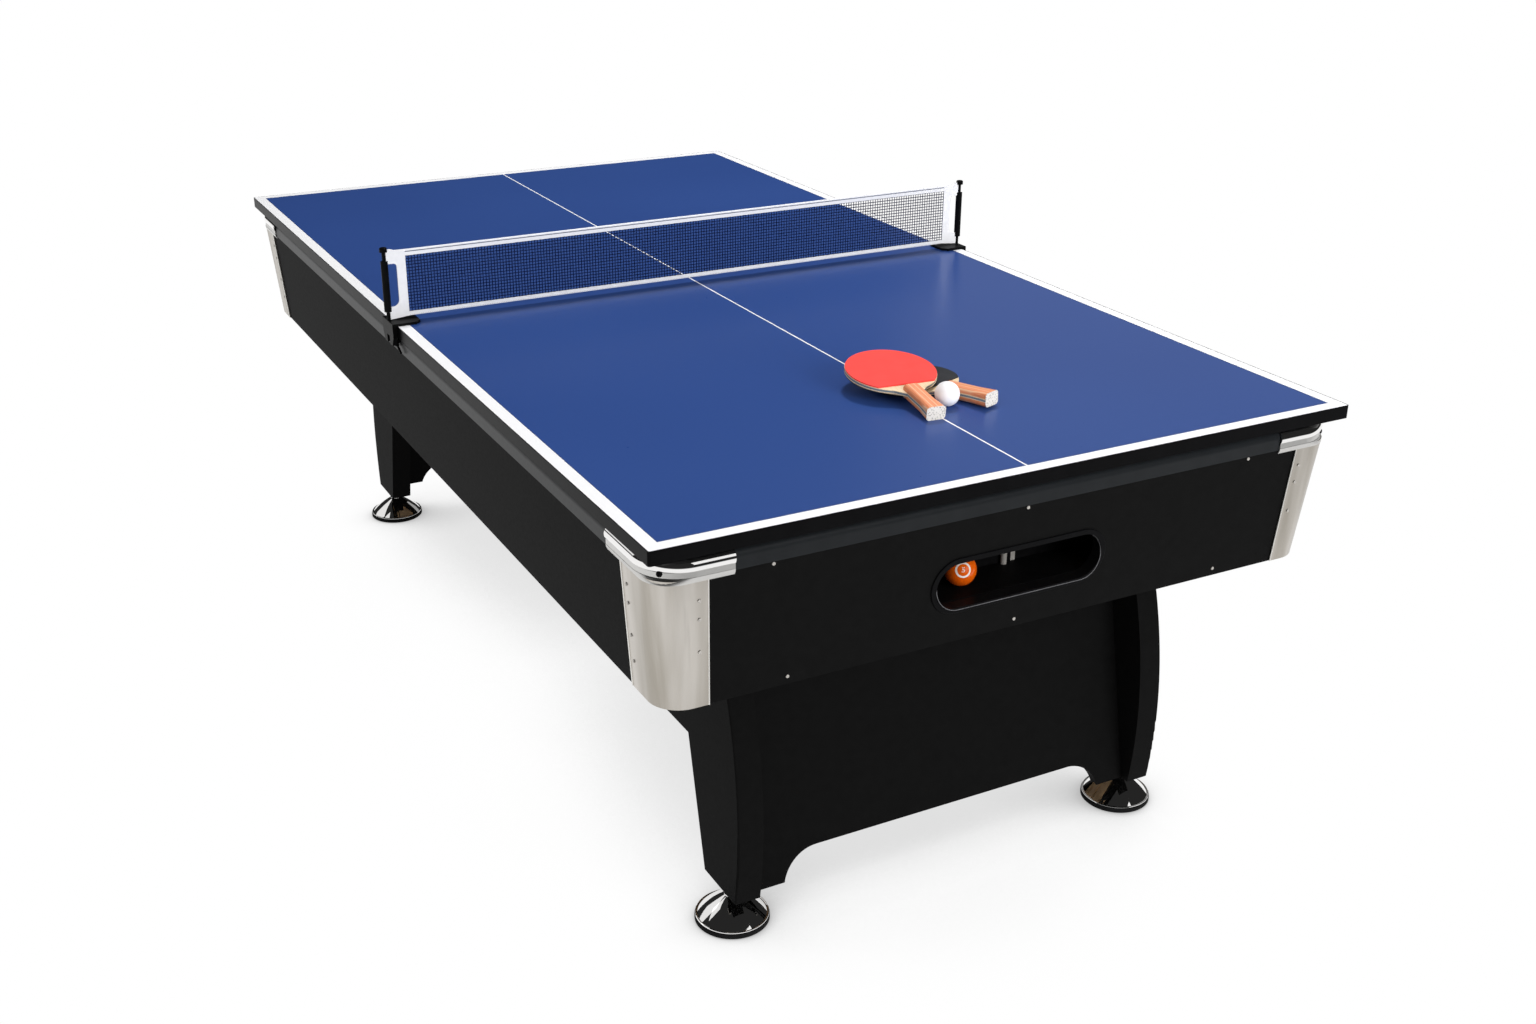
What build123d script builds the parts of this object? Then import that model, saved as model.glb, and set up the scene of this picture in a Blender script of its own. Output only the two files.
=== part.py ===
"""Multi game table: a pool table of the seven foot class with a lift-off table tennis top.

Origin on the floor below the middle of the table. +X runs across, +Y along, +Z up, and the ball
return opening faces -Y. All lengths are in millimetres.
"""
import os
from math import atan, atan2, cos, degrees, pi, radians, sin, tan

from build123d import *

# Pool table, plan sizes
play_length = 1990.0
play_width = 970.0
cushion_width = 40.0
rail_width = 75.0

# Heights from the floor up
foot_height = 64.0
leg_height = 448.0
apron_height = 205.5
rail_height = 30.5
bearer_thickness = 5.5
top_thickness = 21.5

# Aprons of the cabinet, leaning in towards the bottom
apron_thickness = 18.0
apron_setback = 3.0
apron_lean_in = 17.0
apron_corner_radius = 45.0
apron_end_length = 64.0

# Corner plates of the cabinet
plate_thickness = 2.0
plate_end_wrap_bottom = 69.0
plate_end_wrap_top = 78.0
plate_side_wrap_bottom = 96.0
plate_side_wrap_top = 105.0

# Rails, cushions and corner caps
rail_rabbet = 6.5
rail_edge_radius = 12.0
cushion_nose_height = 32.0
cushion_nose_thickness = 3.5
cushion_heel_rise = 8.0
cushion_back_drop = 0.5
cushion_top_slope = 2.0
cushion_lip = 3.0
cap_proud = 2.0
cap_wall = 6.0
cap_top_wall = 3.0
cap_corner_radius = 66.0
cap_end_reach = 120.0
cap_side_reach = 150.0
cap_lip_radius = 2.5
cap_screw_radius = 3.5
tenon_length = 16.0
tenon_clearance = 0.5

# Bed and pockets
bed_thickness = 18.0
cloth_thickness = 1.5
corner_pocket_shift = 20.0
corner_pocket_radius = 57.0
side_pocket_shift = 36.0
side_pocket_radius = 52.0
pocket_clearance = 0.3
pocket_wall = 3.0
pocket_rim_drop = 1.0
pocket_flange = 6.0
pocket_flange_thickness = 2.0
pocket_throat_radius = 34.0
pocket_throat_drop = 43.5
cushion_corner_gap = 53.0
cushion_corner_flare = 16.0
cushion_side_gap = 60.0
cushion_side_flare = 5.0

# Frame below the bed
beam_height = 40.0
beam_width = 60.0
inner_beam_share = 0.36

# Legs, end panels and side beams
leg_thickness = 44.0
leg_side_setback = 170.5
leg_top_setback = 178.0
leg_top_width = 159.0
leg_belly = 70.0
leg_belly_height = 126.0
leg_foot_advance = 60.0
leg_foot_width = 108.0
leg_edge_radius = 3.0
panel_thickness = 18.0
panel_foot_recess = 17.0
panel_top_recess = 51.0
panel_tuck = 48.0
arch_half_width = 250.0
arch_height = 48.0
arch_corner_radius = 64.0
side_beam_thickness = 18.0
side_beam_rise = 208.0

# Levelling feet
foot_radius = 60.75
foot_pad_height = 9.0
foot_pad_chamfer = 1.5
foot_seat_depth = 3.0
foot_disc_radius = 58.4
foot_rim_height = 3.5
foot_cone_top_radius = 13.0
foot_cone_height = 36.0
foot_cone_swell = 1.5
foot_collar_radius = 11.5
foot_collar_height = 4.0
stud_radius = 8.0
stud_engagement = 38.0
insert_radius = 12.0
insert_length = 46.0
turning_clearance = 0.3

# Ball return opening, tray and runways
return_height_above_apron = 96.0
return_length = 297.0
return_opening_height = 75.0
bezel_width = 8.5
bezel_thickness = 2.5
bezel_edge_radius = 1.0
bezel_sleeve_wall = 2.0
pool_ball_radius = 25.4
pool_ball_x = -65.0
pool_ball_gap = 11.6
tray_floor_rise = 61.0
tray_wall = 4.0
tray_half_length = 165.0
tray_depth = 90.0
tray_wall_height = 66.0
runway_half_width = 30.0
runway_wall = 3.0
runway_height = 36.0
runway_fall = 25.0
runway_end_rise = 2.0
runway_corner_rise = 7.0
runway_reach = 33.0
runway_turn_setback = 50.0
tab_width = 30.0
tray_bolt_radius = 5.0
tray_bolt_x = 38.0
tray_bolt_wall_gap = 0.5
tray_strip_width = 8.0
tray_strip_thickness = 2.0
tray_strip_x = 58.0

# Small pins in the cabinet
pin_radius = 2.6
pin_proud = 1.2
pin_inset = 13.5
plate_pin_heights = (169.8, 140.3, 89.0, 46.8)
apron_upper_pin_height = 201.0
apron_lower_pin_height = 13.0
apron_upper_pin_xs = (-420.0, 0.0, 420.0)
apron_lower_pin_xs = (-388.0, 0.0, 388.0)

# Table tennis top
top_overhang = 10.0
top_corner_radius = 4.0
edge_band = 1.5
bearer_width = 50.0
bearer_length = 160.0
bearer_inset = 8.0
side_bearer_shares = (-0.72, -0.36, 0.36, 0.72)
end_bearer_shares = (-0.55, 0.55)

# Net set
net_height = 132.0
net_floor_gap = 9.0
net_end_inset = 33.0
net_tape_thickness = 3.0
net_top_tape = 12.0
net_bottom_tape = 8.0
net_thickness = 1.2
net_columns = 60
net_rows = 5
net_bar_share = 0.12
net_sleeve_width = 17.0
net_tab_top_height = 24.0
net_tab_bottom_height = 20.0
net_tab_bottom_drop = 3.5
net_tab_round = 12.0
net_tab_top_step = 3.0

# Net posts and clamps
post_x_outside = 6.0
post_rod_radius = 3.3
post_sleeve_radius = 6.5
post_sleeve_bottom = 21.0
post_sleeve_height = 93.0
post_top = 139.0
post_cap_radius = 7.0
post_cap_height = 8.0
clamp_half_width = 31.0
clamp_reach_in = 46.0
clamp_nose_half_width = 21.0
clamp_plate = 5.0
clamp_edge_gap = 1.0
clamp_back_thickness = 8.0
clamp_drop = 37.0
clamp_jaw_thickness = 6.0
clamp_jaw_half_width = 16.0
clamp_jaw_side_gap = 0.8
clamp_foot_half_width = 22.0
clamp_notch_half_width = 8.0
clamp_notch_height = 15.5
screw_x_inside = 5.2
screw_radius = 2.6
screw_pad_radius = 4.0
screw_pad_height = 3.0
screw_head_radius = 4.0
screw_head_height = 4.5
screw_travel = 5.0
lever_radius = 2.2
lever_length = 24.0
lever_droop = 25.0
press_gap = 0.05

# Paddles and the table tennis ball
blade_half_width = 74.5
blade_half_length = 77.6
ply_thickness = 6.0
rubber_thickness = 2.0
rubber_inset = 0.6
rubber_end = 57.0
handle_end = 159.6
handle_start = 72.0
handle_half_width = 13.5
handle_flare_half_width = 16.5
handle_flare_start = 128.0
scale_thickness = 8.5
scale_edge_radius = 6.0
shoulder_start = 58.0
shoulder_half_width = 42.0
shoulder_end = 88.0
shoulder_sag = 3.0
red_paddle_x = 1.1
red_paddle_end_gap = 398.5
red_paddle_turn = -5.4
black_paddle_x = 42.7
black_paddle_end_gap = 398.8
black_paddle_turn = 19.26
paddle_gap = 0.1
rest_gap = 0.05
outline_samples = 72
tennis_ball_radius = 20.0
tennis_ball_x = 37.9
tennis_ball_end_gap = 288.9
tennis_ball_shell = 0.5

# One overrun for every cut
overrun = 30.0

# Levels worked out from the sizes above
leg_bottom = foot_height
cabinet_bottom = leg_bottom + leg_height
apron_top = cabinet_bottom + apron_height
rail_top = apron_top + rail_height
board_bottom = rail_top + bearer_thickness
board_top = board_bottom + top_thickness
cloth_top = apron_top - rail_rabbet
slab_top = cloth_top - cloth_thickness
slab_bottom = slab_top - bed_thickness
beam_bottom = slab_bottom - beam_height
tray_floor = cabinet_bottom + tray_floor_rise
return_height = cabinet_bottom + return_height_above_apron
cushion_nose = cloth_top + cushion_nose_height

# Plan positions worked out from the sizes above
nose_x = play_width / 2
nose_y = play_length / 2
rail_inner_x = nose_x + cushion_width
rail_inner_y = nose_y + cushion_width
rail_outer_x = rail_inner_x + rail_width
rail_outer_y = rail_inner_y + rail_width
cabinet_top_x = rail_outer_x - apron_setback
cabinet_top_y = rail_outer_y - apron_setback
cabinet_low_x = cabinet_top_x - apron_lean_in
cabinet_low_y = cabinet_top_y - apron_lean_in
cap_outer_x = rail_outer_x + cap_proud
cap_outer_y = rail_outer_y + cap_proud
cap_start_x = rail_outer_x - cap_end_reach
cap_start_y = rail_outer_y - cap_side_reach
board_half_x = rail_outer_x + top_overhang
board_half_y = rail_outer_y + top_overhang
corner_pocket_x = nose_x + corner_pocket_shift
corner_pocket_y = nose_y + corner_pocket_shift
side_pocket_x = nose_x + side_pocket_shift
leg_outer_x = cabinet_low_x - leg_side_setback
leg_inner_x = leg_outer_x - leg_thickness
leg_middle_x = leg_outer_x - leg_thickness / 2
leg_top_front_y = cabinet_low_y - leg_top_setback
leg_top_back_y = leg_top_front_y - leg_top_width
leg_foot_front_y = leg_top_front_y + leg_foot_advance
leg_foot_back_y = leg_foot_front_y - leg_foot_width
leg_belly_y = leg_top_front_y + leg_belly
foot_y = (leg_foot_front_y + leg_foot_back_y) / 2
end_beam_y = leg_top_front_y - leg_top_width / 2
beam_places = (
    -end_beam_y,
    -end_beam_y * inner_beam_share,
    end_beam_y * inner_beam_share,
    end_beam_y,
)
lean = atan(apron_lean_in / apron_height)
end_apron_start_y = cabinet_top_y - apron_end_length
runway_turn_y = cabinet_low_y - runway_turn_setback
tray_back_y = cabinet_low_y - tray_depth
post_x = board_half_x + post_x_outside
net_half_length = board_half_x - net_end_inset
red_paddle_place = (red_paddle_x, red_paddle_end_gap - board_half_y)
black_paddle_place = (black_paddle_x, black_paddle_end_gap - board_half_y)
tennis_ball_place = (tennis_ball_x, tennis_ball_end_gap - board_half_y)
corners = ((-1, -1), (1, -1), (-1, 1), (1, 1))


def block(x_from, x_to, y_from, y_to, z_from, z_to):
    """A box between two limits on each axis."""
    middle = Pos((x_from + x_to) / 2, (y_from + y_to) / 2, (z_from + z_to) / 2)
    return middle * Box(x_to - x_from, y_to - y_from, z_to - z_from)


def in_corner(shape, side, end):
    """Mirrors a shape made for the +X +Y corner into the corner that is asked for."""
    if side < 0:
        shape = mirror(shape, about=Plane.YZ)
    if end < 0:
        shape = mirror(shape, about=Plane.XZ)
    return shape


def along_x(points, x_from, x_to):
    """A prism along X over an outline given in Y and Z."""
    face = Plane.YZ * make_face(Polyline(*points, close=True))
    return Pos(x_from, 0, 0) * extrude(face, x_to - x_from)


def along_y(points, y_from, y_to):
    """A prism along Y over an outline given in X and Z."""
    face = Plane.XZ * make_face(Polyline(*points, close=True))
    return Pos(0, y_to, 0) * extrude(face, y_to - y_from)


def upright(x, y, radius, z_from, z_to):
    """An upright cylinder between two heights."""
    return Pos(x, y, (z_from + z_to) / 2) * Cylinder(radius, z_to - z_from)


def tapered_body(offset):
    """The cabinet's outline as a solid, moved out by offset from the aprons' outer faces."""
    low = RectangleRounded(
        2 * (cabinet_low_x + offset),
        2 * (cabinet_low_y + offset),
        apron_corner_radius + offset,
    )
    high = RectangleRounded(
        2 * (cabinet_top_x + offset),
        2 * (cabinet_top_y + offset),
        apron_corner_radius + offset,
    )
    return loft([Pos(0, 0, cabinet_bottom) * low, Pos(0, 0, apron_top) * high])


cabinet_solid = tapered_body(0)
cabinet_void = tapered_body(-apron_thickness)
plated_solid = tapered_body(plate_thickness)


def pocket_drums(radius_growth, z_from, z_to):
    """Six drums on the pocket centres, used to cut the pockets."""
    drums = []
    for side, end in corners:
        drums.append(
            upright(
                side * corner_pocket_x,
                end * corner_pocket_y,
                corner_pocket_radius + radius_growth,
                z_from,
                z_to,
            )
        )
    for side in (-1, 1):
        drums.append(
            upright(side * side_pocket_x, 0, side_pocket_radius + radius_growth, z_from, z_to)
        )
    return drums


# Base
def leg():
    """A leg with a bowed front, a leaning back and a straight head inside the cabinet."""
    front = ThreePointArc(
        (leg_foot_front_y, leg_bottom),
        (leg_belly_y, leg_bottom + leg_belly_height),
        (leg_top_front_y, cabinet_bottom),
    )
    rest = Polyline(
        (leg_top_front_y, cabinet_bottom),
        (leg_top_front_y, beam_bottom),
        (leg_top_back_y, beam_bottom),
        (leg_top_back_y, cabinet_bottom),
        (leg_foot_back_y, leg_bottom),
        (leg_foot_front_y, leg_bottom),
    )
    face = Plane.YZ * make_face(front + rest)
    body = Pos(leg_inner_x, 0, 0) * extrude(face, leg_thickness)
    outer_edges = body.faces().sort_by(Axis.X)[-1].edges().filter_by(GeomType.CIRCLE)
    body = fillet(outer_edges, leg_edge_radius)
    socket = upright(leg_middle_x, foot_y, insert_radius, leg_bottom, leg_bottom + insert_length)
    return body - socket


def end_panel():
    """The leaning panel between two legs, with its arch."""
    slope = (panel_top_recess - panel_foot_recess + leg_foot_advance) / leg_height
    outer_foot = leg_foot_front_y - panel_foot_recess
    outer_top = outer_foot - slope * (leg_height + panel_tuck)
    depth = panel_thickness / cos(atan(slope))
    panel_top = cabinet_bottom + panel_tuck
    panel = along_x(
        [
            (outer_foot, leg_bottom),
            (outer_top, panel_top),
            (outer_top - depth, panel_top),
            (outer_foot - depth, leg_bottom),
        ],
        -leg_inner_x,
        leg_inner_x,
    )
    return panel - arch_cutter(outer_foot - leg_foot_width, outer_foot + overrun)


def arch_cutter(y_from, y_to):
    """The arch's opening as a prism along Y."""
    arch_top = leg_bottom + arch_height
    centre_z = arch_top - arch_corner_radius
    flat = block(-arch_half_width, arch_half_width, y_from, y_to, leg_bottom - overrun, arch_top)
    middle_y = (y_from + y_to) / 2
    for side in (-1, 1):
        round_end = Pos(side * arch_half_width, middle_y, centre_z) * Rot(90, 0, 0)
        flat += round_end * Cylinder(arch_corner_radius, y_to - y_from)
    return flat


def side_beam():
    """The long beam between the legs of one side, cut to their leaning back edges."""
    reach_low = leg_foot_back_y - (leg_foot_back_y - leg_top_back_y) * side_beam_rise / leg_height
    low = leg_bottom + side_beam_rise
    high = cabinet_bottom + panel_tuck
    return along_x(
        [
            (-reach_low, low),
            (reach_low, low),
            (leg_top_back_y, cabinet_bottom),
            (leg_top_back_y, high),
            (-leg_top_back_y, high),
            (-leg_top_back_y, cabinet_bottom),
        ],
        leg_middle_x - side_beam_thickness / 2,
        leg_middle_x + side_beam_thickness / 2,
    )


def foot_disc():
    """The chrome cone of a foot with its collar and stud."""
    seat = foot_pad_height - foot_seat_depth
    rim_top = seat + foot_rim_height
    cone_top = rim_top + foot_cone_height
    collar_top = cone_top + foot_collar_height
    swell_radius = (foot_disc_radius + foot_cone_top_radius) / 2 + foot_cone_swell
    swell_height = (rim_top + cone_top) / 2 + foot_cone_swell
    lower = Polyline(
        (0, seat),
        (foot_disc_radius, seat),
        (foot_disc_radius, rim_top),
    )
    cone = ThreePointArc(
        (foot_disc_radius, rim_top),
        (swell_radius, swell_height),
        (foot_cone_top_radius, cone_top),
    )
    upper = Polyline(
        (foot_cone_top_radius, cone_top),
        (foot_collar_radius, cone_top),
        (foot_collar_radius, collar_top),
        (stud_radius, collar_top),
        (stud_radius, leg_bottom + stud_engagement),
        (0, leg_bottom + stud_engagement),
        (0, seat),
    )
    profile = Plane.XZ * make_face(lower + cone + upper)
    return Pos(leg_middle_x, foot_y, 0) * revolve(profile, Axis.Z)


def foot_pad():
    """The rubber pad of a foot, with the seat that holds the cone."""
    profile = Polyline(
        (0, 0),
        (foot_radius - foot_pad_chamfer, 0),
        (foot_radius, foot_pad_chamfer),
        (foot_radius, foot_pad_height - foot_pad_chamfer),
        (foot_radius - foot_pad_chamfer / 2, foot_pad_height),
        (foot_disc_radius + turning_clearance, foot_pad_height),
        (foot_disc_radius + turning_clearance, foot_pad_height - foot_seat_depth),
        (0, foot_pad_height - foot_seat_depth),
        close=True,
    )
    return Pos(leg_middle_x, foot_y, 0) * revolve(Plane.XZ * make_face(profile), Axis.Z)


def leg_inserts():
    """The steel sleeves in the legs that take the studs."""
    sleeves = []
    for side, end in corners:
        x = side * leg_middle_x
        y = end * foot_y
        sleeve = upright(x, y, insert_radius, leg_bottom, leg_bottom + insert_length)
        bore = upright(
            x,
            y,
            stud_radius + turning_clearance,
            leg_bottom - overrun,
            leg_bottom + insert_length - pocket_wall,
        )
        sleeves.append(sleeve - bore)
    return sleeves


# Cabinet
def apron_ring():
    """All four aprons in one piece, before they are parted."""
    return cabinet_solid - cabinet_void


def side_apron(side):
    """A long apron between the two end aprons."""
    reach = cabinet_top_x + overrun
    keep = block(0, reach, -end_apron_start_y, end_apron_start_y, cabinet_bottom, apron_top)
    return in_corner(apron_ring() & keep, side, 1)


def end_apron(end):
    """An end apron with the rounded corner blocks that back the corner plates."""
    reach = cabinet_top_x + overrun
    keep = block(
        -reach, reach, end_apron_start_y, cabinet_top_y + overrun, cabinet_bottom, apron_top
    )
    apron = in_corner(apron_ring() & keep, 1, end)
    if end < 0:
        apron -= return_slot(bezel_sleeve_wall, -apron_thickness - overrun, overrun)
    return apron


def return_plane():
    """The plane of the near apron's outer face at the ball return, facing out."""
    face_y = cabinet_low_y + tan(lean) * return_height_above_apron
    return Plane(origin=(0, -face_y, return_height), x_dir=(1, 0, 0), z_dir=(0, -cos(lean), -sin(lean)))


def return_slot(growth, depth_from, depth_to):
    """A slot-shaped solid through the near apron, between two depths along its normal."""
    length = return_length + 2 * growth
    height = return_opening_height + 2 * growth
    face = return_plane() * Pos(0, 0, depth_from) * SlotOverall(length, height)
    return extrude(face, depth_to - depth_from, dir=return_plane().z_dir)


def return_bezel():
    """The trim ring around the ball return, with a sleeve through the apron."""
    ring = return_slot(bezel_width, 0, bezel_thickness)
    front = ring.faces().sort_by(Axis.Y)[0].edges()
    ring = fillet(front, bezel_edge_radius)
    sleeve_depth = apron_thickness * cos(lean)
    sleeve = return_slot(bezel_sleeve_wall, -sleeve_depth, 0)
    return ring + sleeve - return_slot(0, -apron_thickness - overrun, overrun)


def corner_plates():
    """Four bent metal plates around the cabinet's corners."""
    shell = plated_solid - cabinet_solid
    far = cabinet_top_y + overrun
    end_face_part = along_y(
        [
            (cabinet_low_x - plate_end_wrap_bottom, cabinet_bottom),
            (cabinet_top_x - plate_end_wrap_top, apron_top),
            (far, apron_top),
            (far, cabinet_bottom),
        ],
        0,
        far,
    )
    side_face_part = along_x(
        [
            (cabinet_low_y - plate_side_wrap_bottom, cabinet_bottom),
            (cabinet_top_y - plate_side_wrap_top, apron_top),
            (far, apron_top),
            (far, cabinet_bottom),
        ],
        0,
        far,
    )
    one = shell & end_face_part & side_face_part
    return [in_corner(one, side, end) for side, end in corners]


def corner_cap():
    """A cast cap over one corner: top plate, rounded skirt, pocket opening and screw hole."""
    outer = extrude(RectangleRounded(2 * cap_outer_x, 2 * cap_outer_y, cap_corner_radius), rail_height)
    outer = fillet(outer.edges().group_by(Axis.Z)[-1], rail_edge_radius)
    outer = fillet(outer.edges().group_by(Axis.Z)[0], cap_lip_radius)
    hollow = extrude(
        RectangleRounded(
            2 * (cap_outer_x - cap_wall),
            2 * (cap_outer_y - cap_wall),
            cap_corner_radius - cap_wall,
        ),
        rail_height - cap_top_wall,
    )
    shell = Pos(0, 0, apron_top) * (outer - hollow)
    far = cap_outer_y + overrun
    corner = block(cap_start_x, far, cap_start_y, far, apron_top, rail_top)
    play_side = block(0, rail_inner_x, 0, rail_inner_y, apron_top, rail_top)
    cap = (shell & corner) - play_side
    cap -= upright(
        corner_pocket_x,
        corner_pocket_y,
        corner_pocket_radius + pocket_clearance,
        apron_top,
        rail_top + overrun,
    )
    arc_x = cap_outer_x - cap_corner_radius
    arc_y = cap_outer_y - cap_corner_radius
    hole_height = apron_top + (rail_height - rail_edge_radius) / 2
    screw_hole = Pos(arc_x, arc_y, hole_height) * Rot(0, 0, 45) * Rot(0, 90, 0)
    cap -= screw_hole * Pos(0, 0, cap_corner_radius) * Cylinder(cap_screw_radius, 2 * cap_wall)
    return cap


def corner_caps():
    """The four caps."""
    return [in_corner(corner_cap(), side, end) for side, end in corners]


# Rails, cushions, bed and pockets
def rail(inner, outer, half_length, swap):
    """One rail along Y on the +X side; swap turns its plan for the ends."""
    crown = block(inner, outer, -half_length, half_length, apron_top, rail_top)
    top_edge = crown.edges().filter_by(Axis.Y).group_by(Axis.X)[-1].sort_by(Axis.Z)[-1]
    crown = fillet(top_edge, rail_edge_radius)
    tenon_outer = outer + cap_proud - cap_wall - tenon_clearance
    tenon_inner = tenon_outer - rail_width / 3
    tenon_top = rail_top - cap_top_wall - tenon_clearance
    for end in (-1, 1):
        start = end * half_length
        stop = end * (half_length + tenon_length)
        crown += block(
            tenon_inner, tenon_outer, min(start, stop), max(start, stop), apron_top, tenon_top
        )
    foot = block(inner, outer, -half_length, half_length, cloth_top, apron_top)
    if swap:
        crown = Rot(0, 0, 90) * crown
        foot = Rot(0, 0, 90) * foot
    return crown + (foot & cabinet_void)


def side_rail(side):
    """A long rail with the side pocket cut into it."""
    body = rail(rail_inner_x, rail_outer_x, cap_start_y, False)
    for drum in pocket_drums(pocket_clearance, slab_bottom, board_bottom):
        body -= drum
    return in_corner(body, side, 1)


def end_rail(end):
    """A short rail, notched at both ends by the corner pockets."""
    body = rail(rail_inner_y, rail_outer_y, cap_start_x, True)
    for drum in pocket_drums(pocket_clearance, slab_bottom, board_bottom):
        body -= drum
    return in_corner(body, 1, end)


def cushion(inner, outer, nose_from, nose_to, back_from, back_to):
    """A rubber cushion along Y on the +X side, between two facings."""
    top = rail_top - cushion_back_drop
    outline = [
        (outer, top),
        (inner + cushion_lip, cushion_nose + cushion_top_slope),
        (inner, cushion_nose),
        (inner + cushion_lip / 2, cushion_nose - cushion_nose_thickness),
        (outer, cloth_top + cushion_heel_rise),
    ]
    strip = along_y(outline, back_from, back_to)
    plan = Polyline(
        (inner, nose_from),
        (inner, nose_to),
        (outer, back_to),
        (outer, back_from),
        close=True,
    )
    trimmed = extrude(Pos(0, 0, cloth_top) * make_face(plan), rail_top - cloth_top)
    return strip & trimmed


def cushions():
    """Six cushions, with the pocket mouths left open between them."""
    nose_stop = nose_y - cushion_corner_gap
    back_stop = nose_stop + cushion_corner_flare
    long_one = cushion(
        nose_x,
        rail_inner_x,
        cushion_side_gap,
        nose_stop,
        cushion_side_gap - cushion_side_flare,
        back_stop,
    )
    end_stop = nose_x - cushion_corner_gap
    end_one = Rot(0, 0, 90) * cushion(
        nose_y,
        rail_inner_y,
        -end_stop,
        end_stop,
        -end_stop - cushion_corner_flare,
        end_stop + cushion_corner_flare,
    )
    for side, end in corners:
        end_one -= upright(
            side * corner_pocket_x,
            corner_pocket_y,
            corner_pocket_radius + pocket_clearance,
            slab_bottom,
            board_bottom,
        )
    pieces = [in_corner(long_one, side, end) for side, end in corners]
    pieces += [in_corner(end_one, 1, end) for end in (-1, 1)]
    return pieces


def bed_layer(z_from, z_to):
    """One layer of the playing bed, cut to the aprons and pockets."""
    layer = cabinet_void & block(
        -cabinet_top_x, cabinet_top_x, -cabinet_top_y, cabinet_top_y, z_from, z_to
    )
    for drum in pocket_drums(pocket_clearance, z_from - overrun, z_to + overrun):
        layer -= drum
    return layer


def pocket_liner(x, y, radius, throat_x, play_cut):
    """A pocket's liner: collar, flange below the bed and a funnel down to the runway."""
    rim_top = rail_top - pocket_rim_drop
    collar = upright(x, y, radius, slab_bottom, rim_top)
    collar -= upright(x, y, radius - pocket_wall, slab_bottom - overrun, rim_top + overrun)
    collar -= play_cut
    throat = pocket_throat_radius
    throat_level = slab_bottom - pocket_throat_drop
    neck_level = slab_bottom - pocket_flange_thickness
    flange = upright(x, y, radius + pocket_flange, neck_level, slab_bottom)
    flange -= upright(x, y, radius - pocket_wall, neck_level - overrun, slab_bottom + overrun)
    outer = loft(
        [
            Pos(x, y, neck_level) * Circle(radius),
            Pos(throat_x, y, throat_level) * Circle(throat),
        ]
    )
    inner = loft(
        [
            Pos(x, y, neck_level) * Circle(radius - pocket_wall),
            Pos(throat_x, y, throat_level) * Circle(throat - pocket_wall),
        ]
    )
    return collar + (flange & cabinet_void) + (outer - inner)


def corner_liner():
    """The liner of the +X +Y corner pocket."""
    cut = block(0, rail_inner_x, 0, rail_inner_y, cloth_top, rail_top)
    return pocket_liner(
        corner_pocket_x, corner_pocket_y, corner_pocket_radius, corner_pocket_x, cut
    )


def side_liner():
    """The liner of the +X side pocket, with its throat over the runway."""
    cut = block(
        0, rail_inner_x, -side_pocket_radius, side_pocket_radius, cloth_top, rail_top
    )
    return pocket_liner(side_pocket_x, 0, side_pocket_radius, corner_pocket_x, cut)


def cross_beams():
    """Four beams below the bed, from apron to apron."""
    beams = []
    for y in beam_places:
        beam = block(
            -cabinet_top_x,
            cabinet_top_x,
            y - beam_width / 2,
            y + beam_width / 2,
            beam_bottom,
            slab_bottom,
        )
        beams.append(beam & cabinet_void)
    return beams


# Ball return
def runway_floor(y):
    """Height of the long runway's floor at a place along the table."""
    far = corner_pocket_y + runway_reach
    near = -runway_turn_y
    share = (y - near) / (far - near)
    return tray_floor + runway_corner_rise + runway_fall * share


def runway():
    """The +X runway: a sloping channel along the table and a short leg to the tray."""
    half = runway_half_width + runway_wall
    far = corner_pocket_y + runway_reach
    near = -runway_turn_y - half
    x = corner_pocket_x
    long_outer = along_x(
        [
            (far, runway_floor(far) - runway_wall),
            (far, runway_floor(far) + runway_height),
            (near, runway_floor(near) + runway_height),
            (near, runway_floor(near) - runway_wall),
        ],
        x - half,
        x + half,
    )
    long_hollow = along_x(
        [
            (far - runway_wall, runway_floor(far - runway_wall)),
            (far - runway_wall, slab_bottom),
            (near + runway_wall, slab_bottom),
            (near + runway_wall, runway_floor(near + runway_wall)),
        ],
        x - runway_half_width,
        x + runway_half_width,
    )
    start = tray_half_length + tray_wall
    turn = tray_floor + runway_corner_rise
    stop = tray_floor + runway_end_rise
    short_outer = along_y(
        [
            (start, stop - runway_wall),
            (start, stop + runway_height),
            (x, turn + runway_height),
            (x, turn - runway_wall),
        ],
        -runway_turn_y - half,
        -runway_turn_y + half,
    )
    short_hollow = along_y(
        [
            (start - overrun, stop),
            (start - overrun, slab_bottom),
            (x + runway_half_width, slab_bottom),
            (x + runway_half_width, turn),
            (x, turn),
            (start, stop),
        ],
        -runway_turn_y - runway_half_width,
        -runway_turn_y + runway_half_width,
    )
    channel = long_outer + short_outer
    channel -= long_hollow
    channel -= short_hollow
    for y in beam_places:
        for wall_x in (x - half, x + runway_half_width):
            channel += block(
                wall_x,
                wall_x + runway_wall,
                y - tab_width / 2,
                y + tab_width / 2,
                runway_floor(y),
                beam_bottom,
            )
    return channel


def ball_tray():
    """The tray behind the opening, closed in front by the near apron."""
    half = tray_half_length + tray_wall
    low = tray_floor - tray_wall
    top = tray_floor + tray_wall_height
    body = block(-half, half, -cabinet_top_y, -tray_back_y + tray_wall, low, top)
    body = body & cabinet_void
    body -= block(
        -tray_half_length, tray_half_length, -cabinet_top_y, -tray_back_y, tray_floor, top + overrun
    )
    body -= block(
        -half - overrun,
        half + overrun,
        -runway_turn_y - runway_half_width,
        -runway_turn_y + runway_half_width,
        tray_floor,
        top + overrun,
    )
    return body


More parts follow.
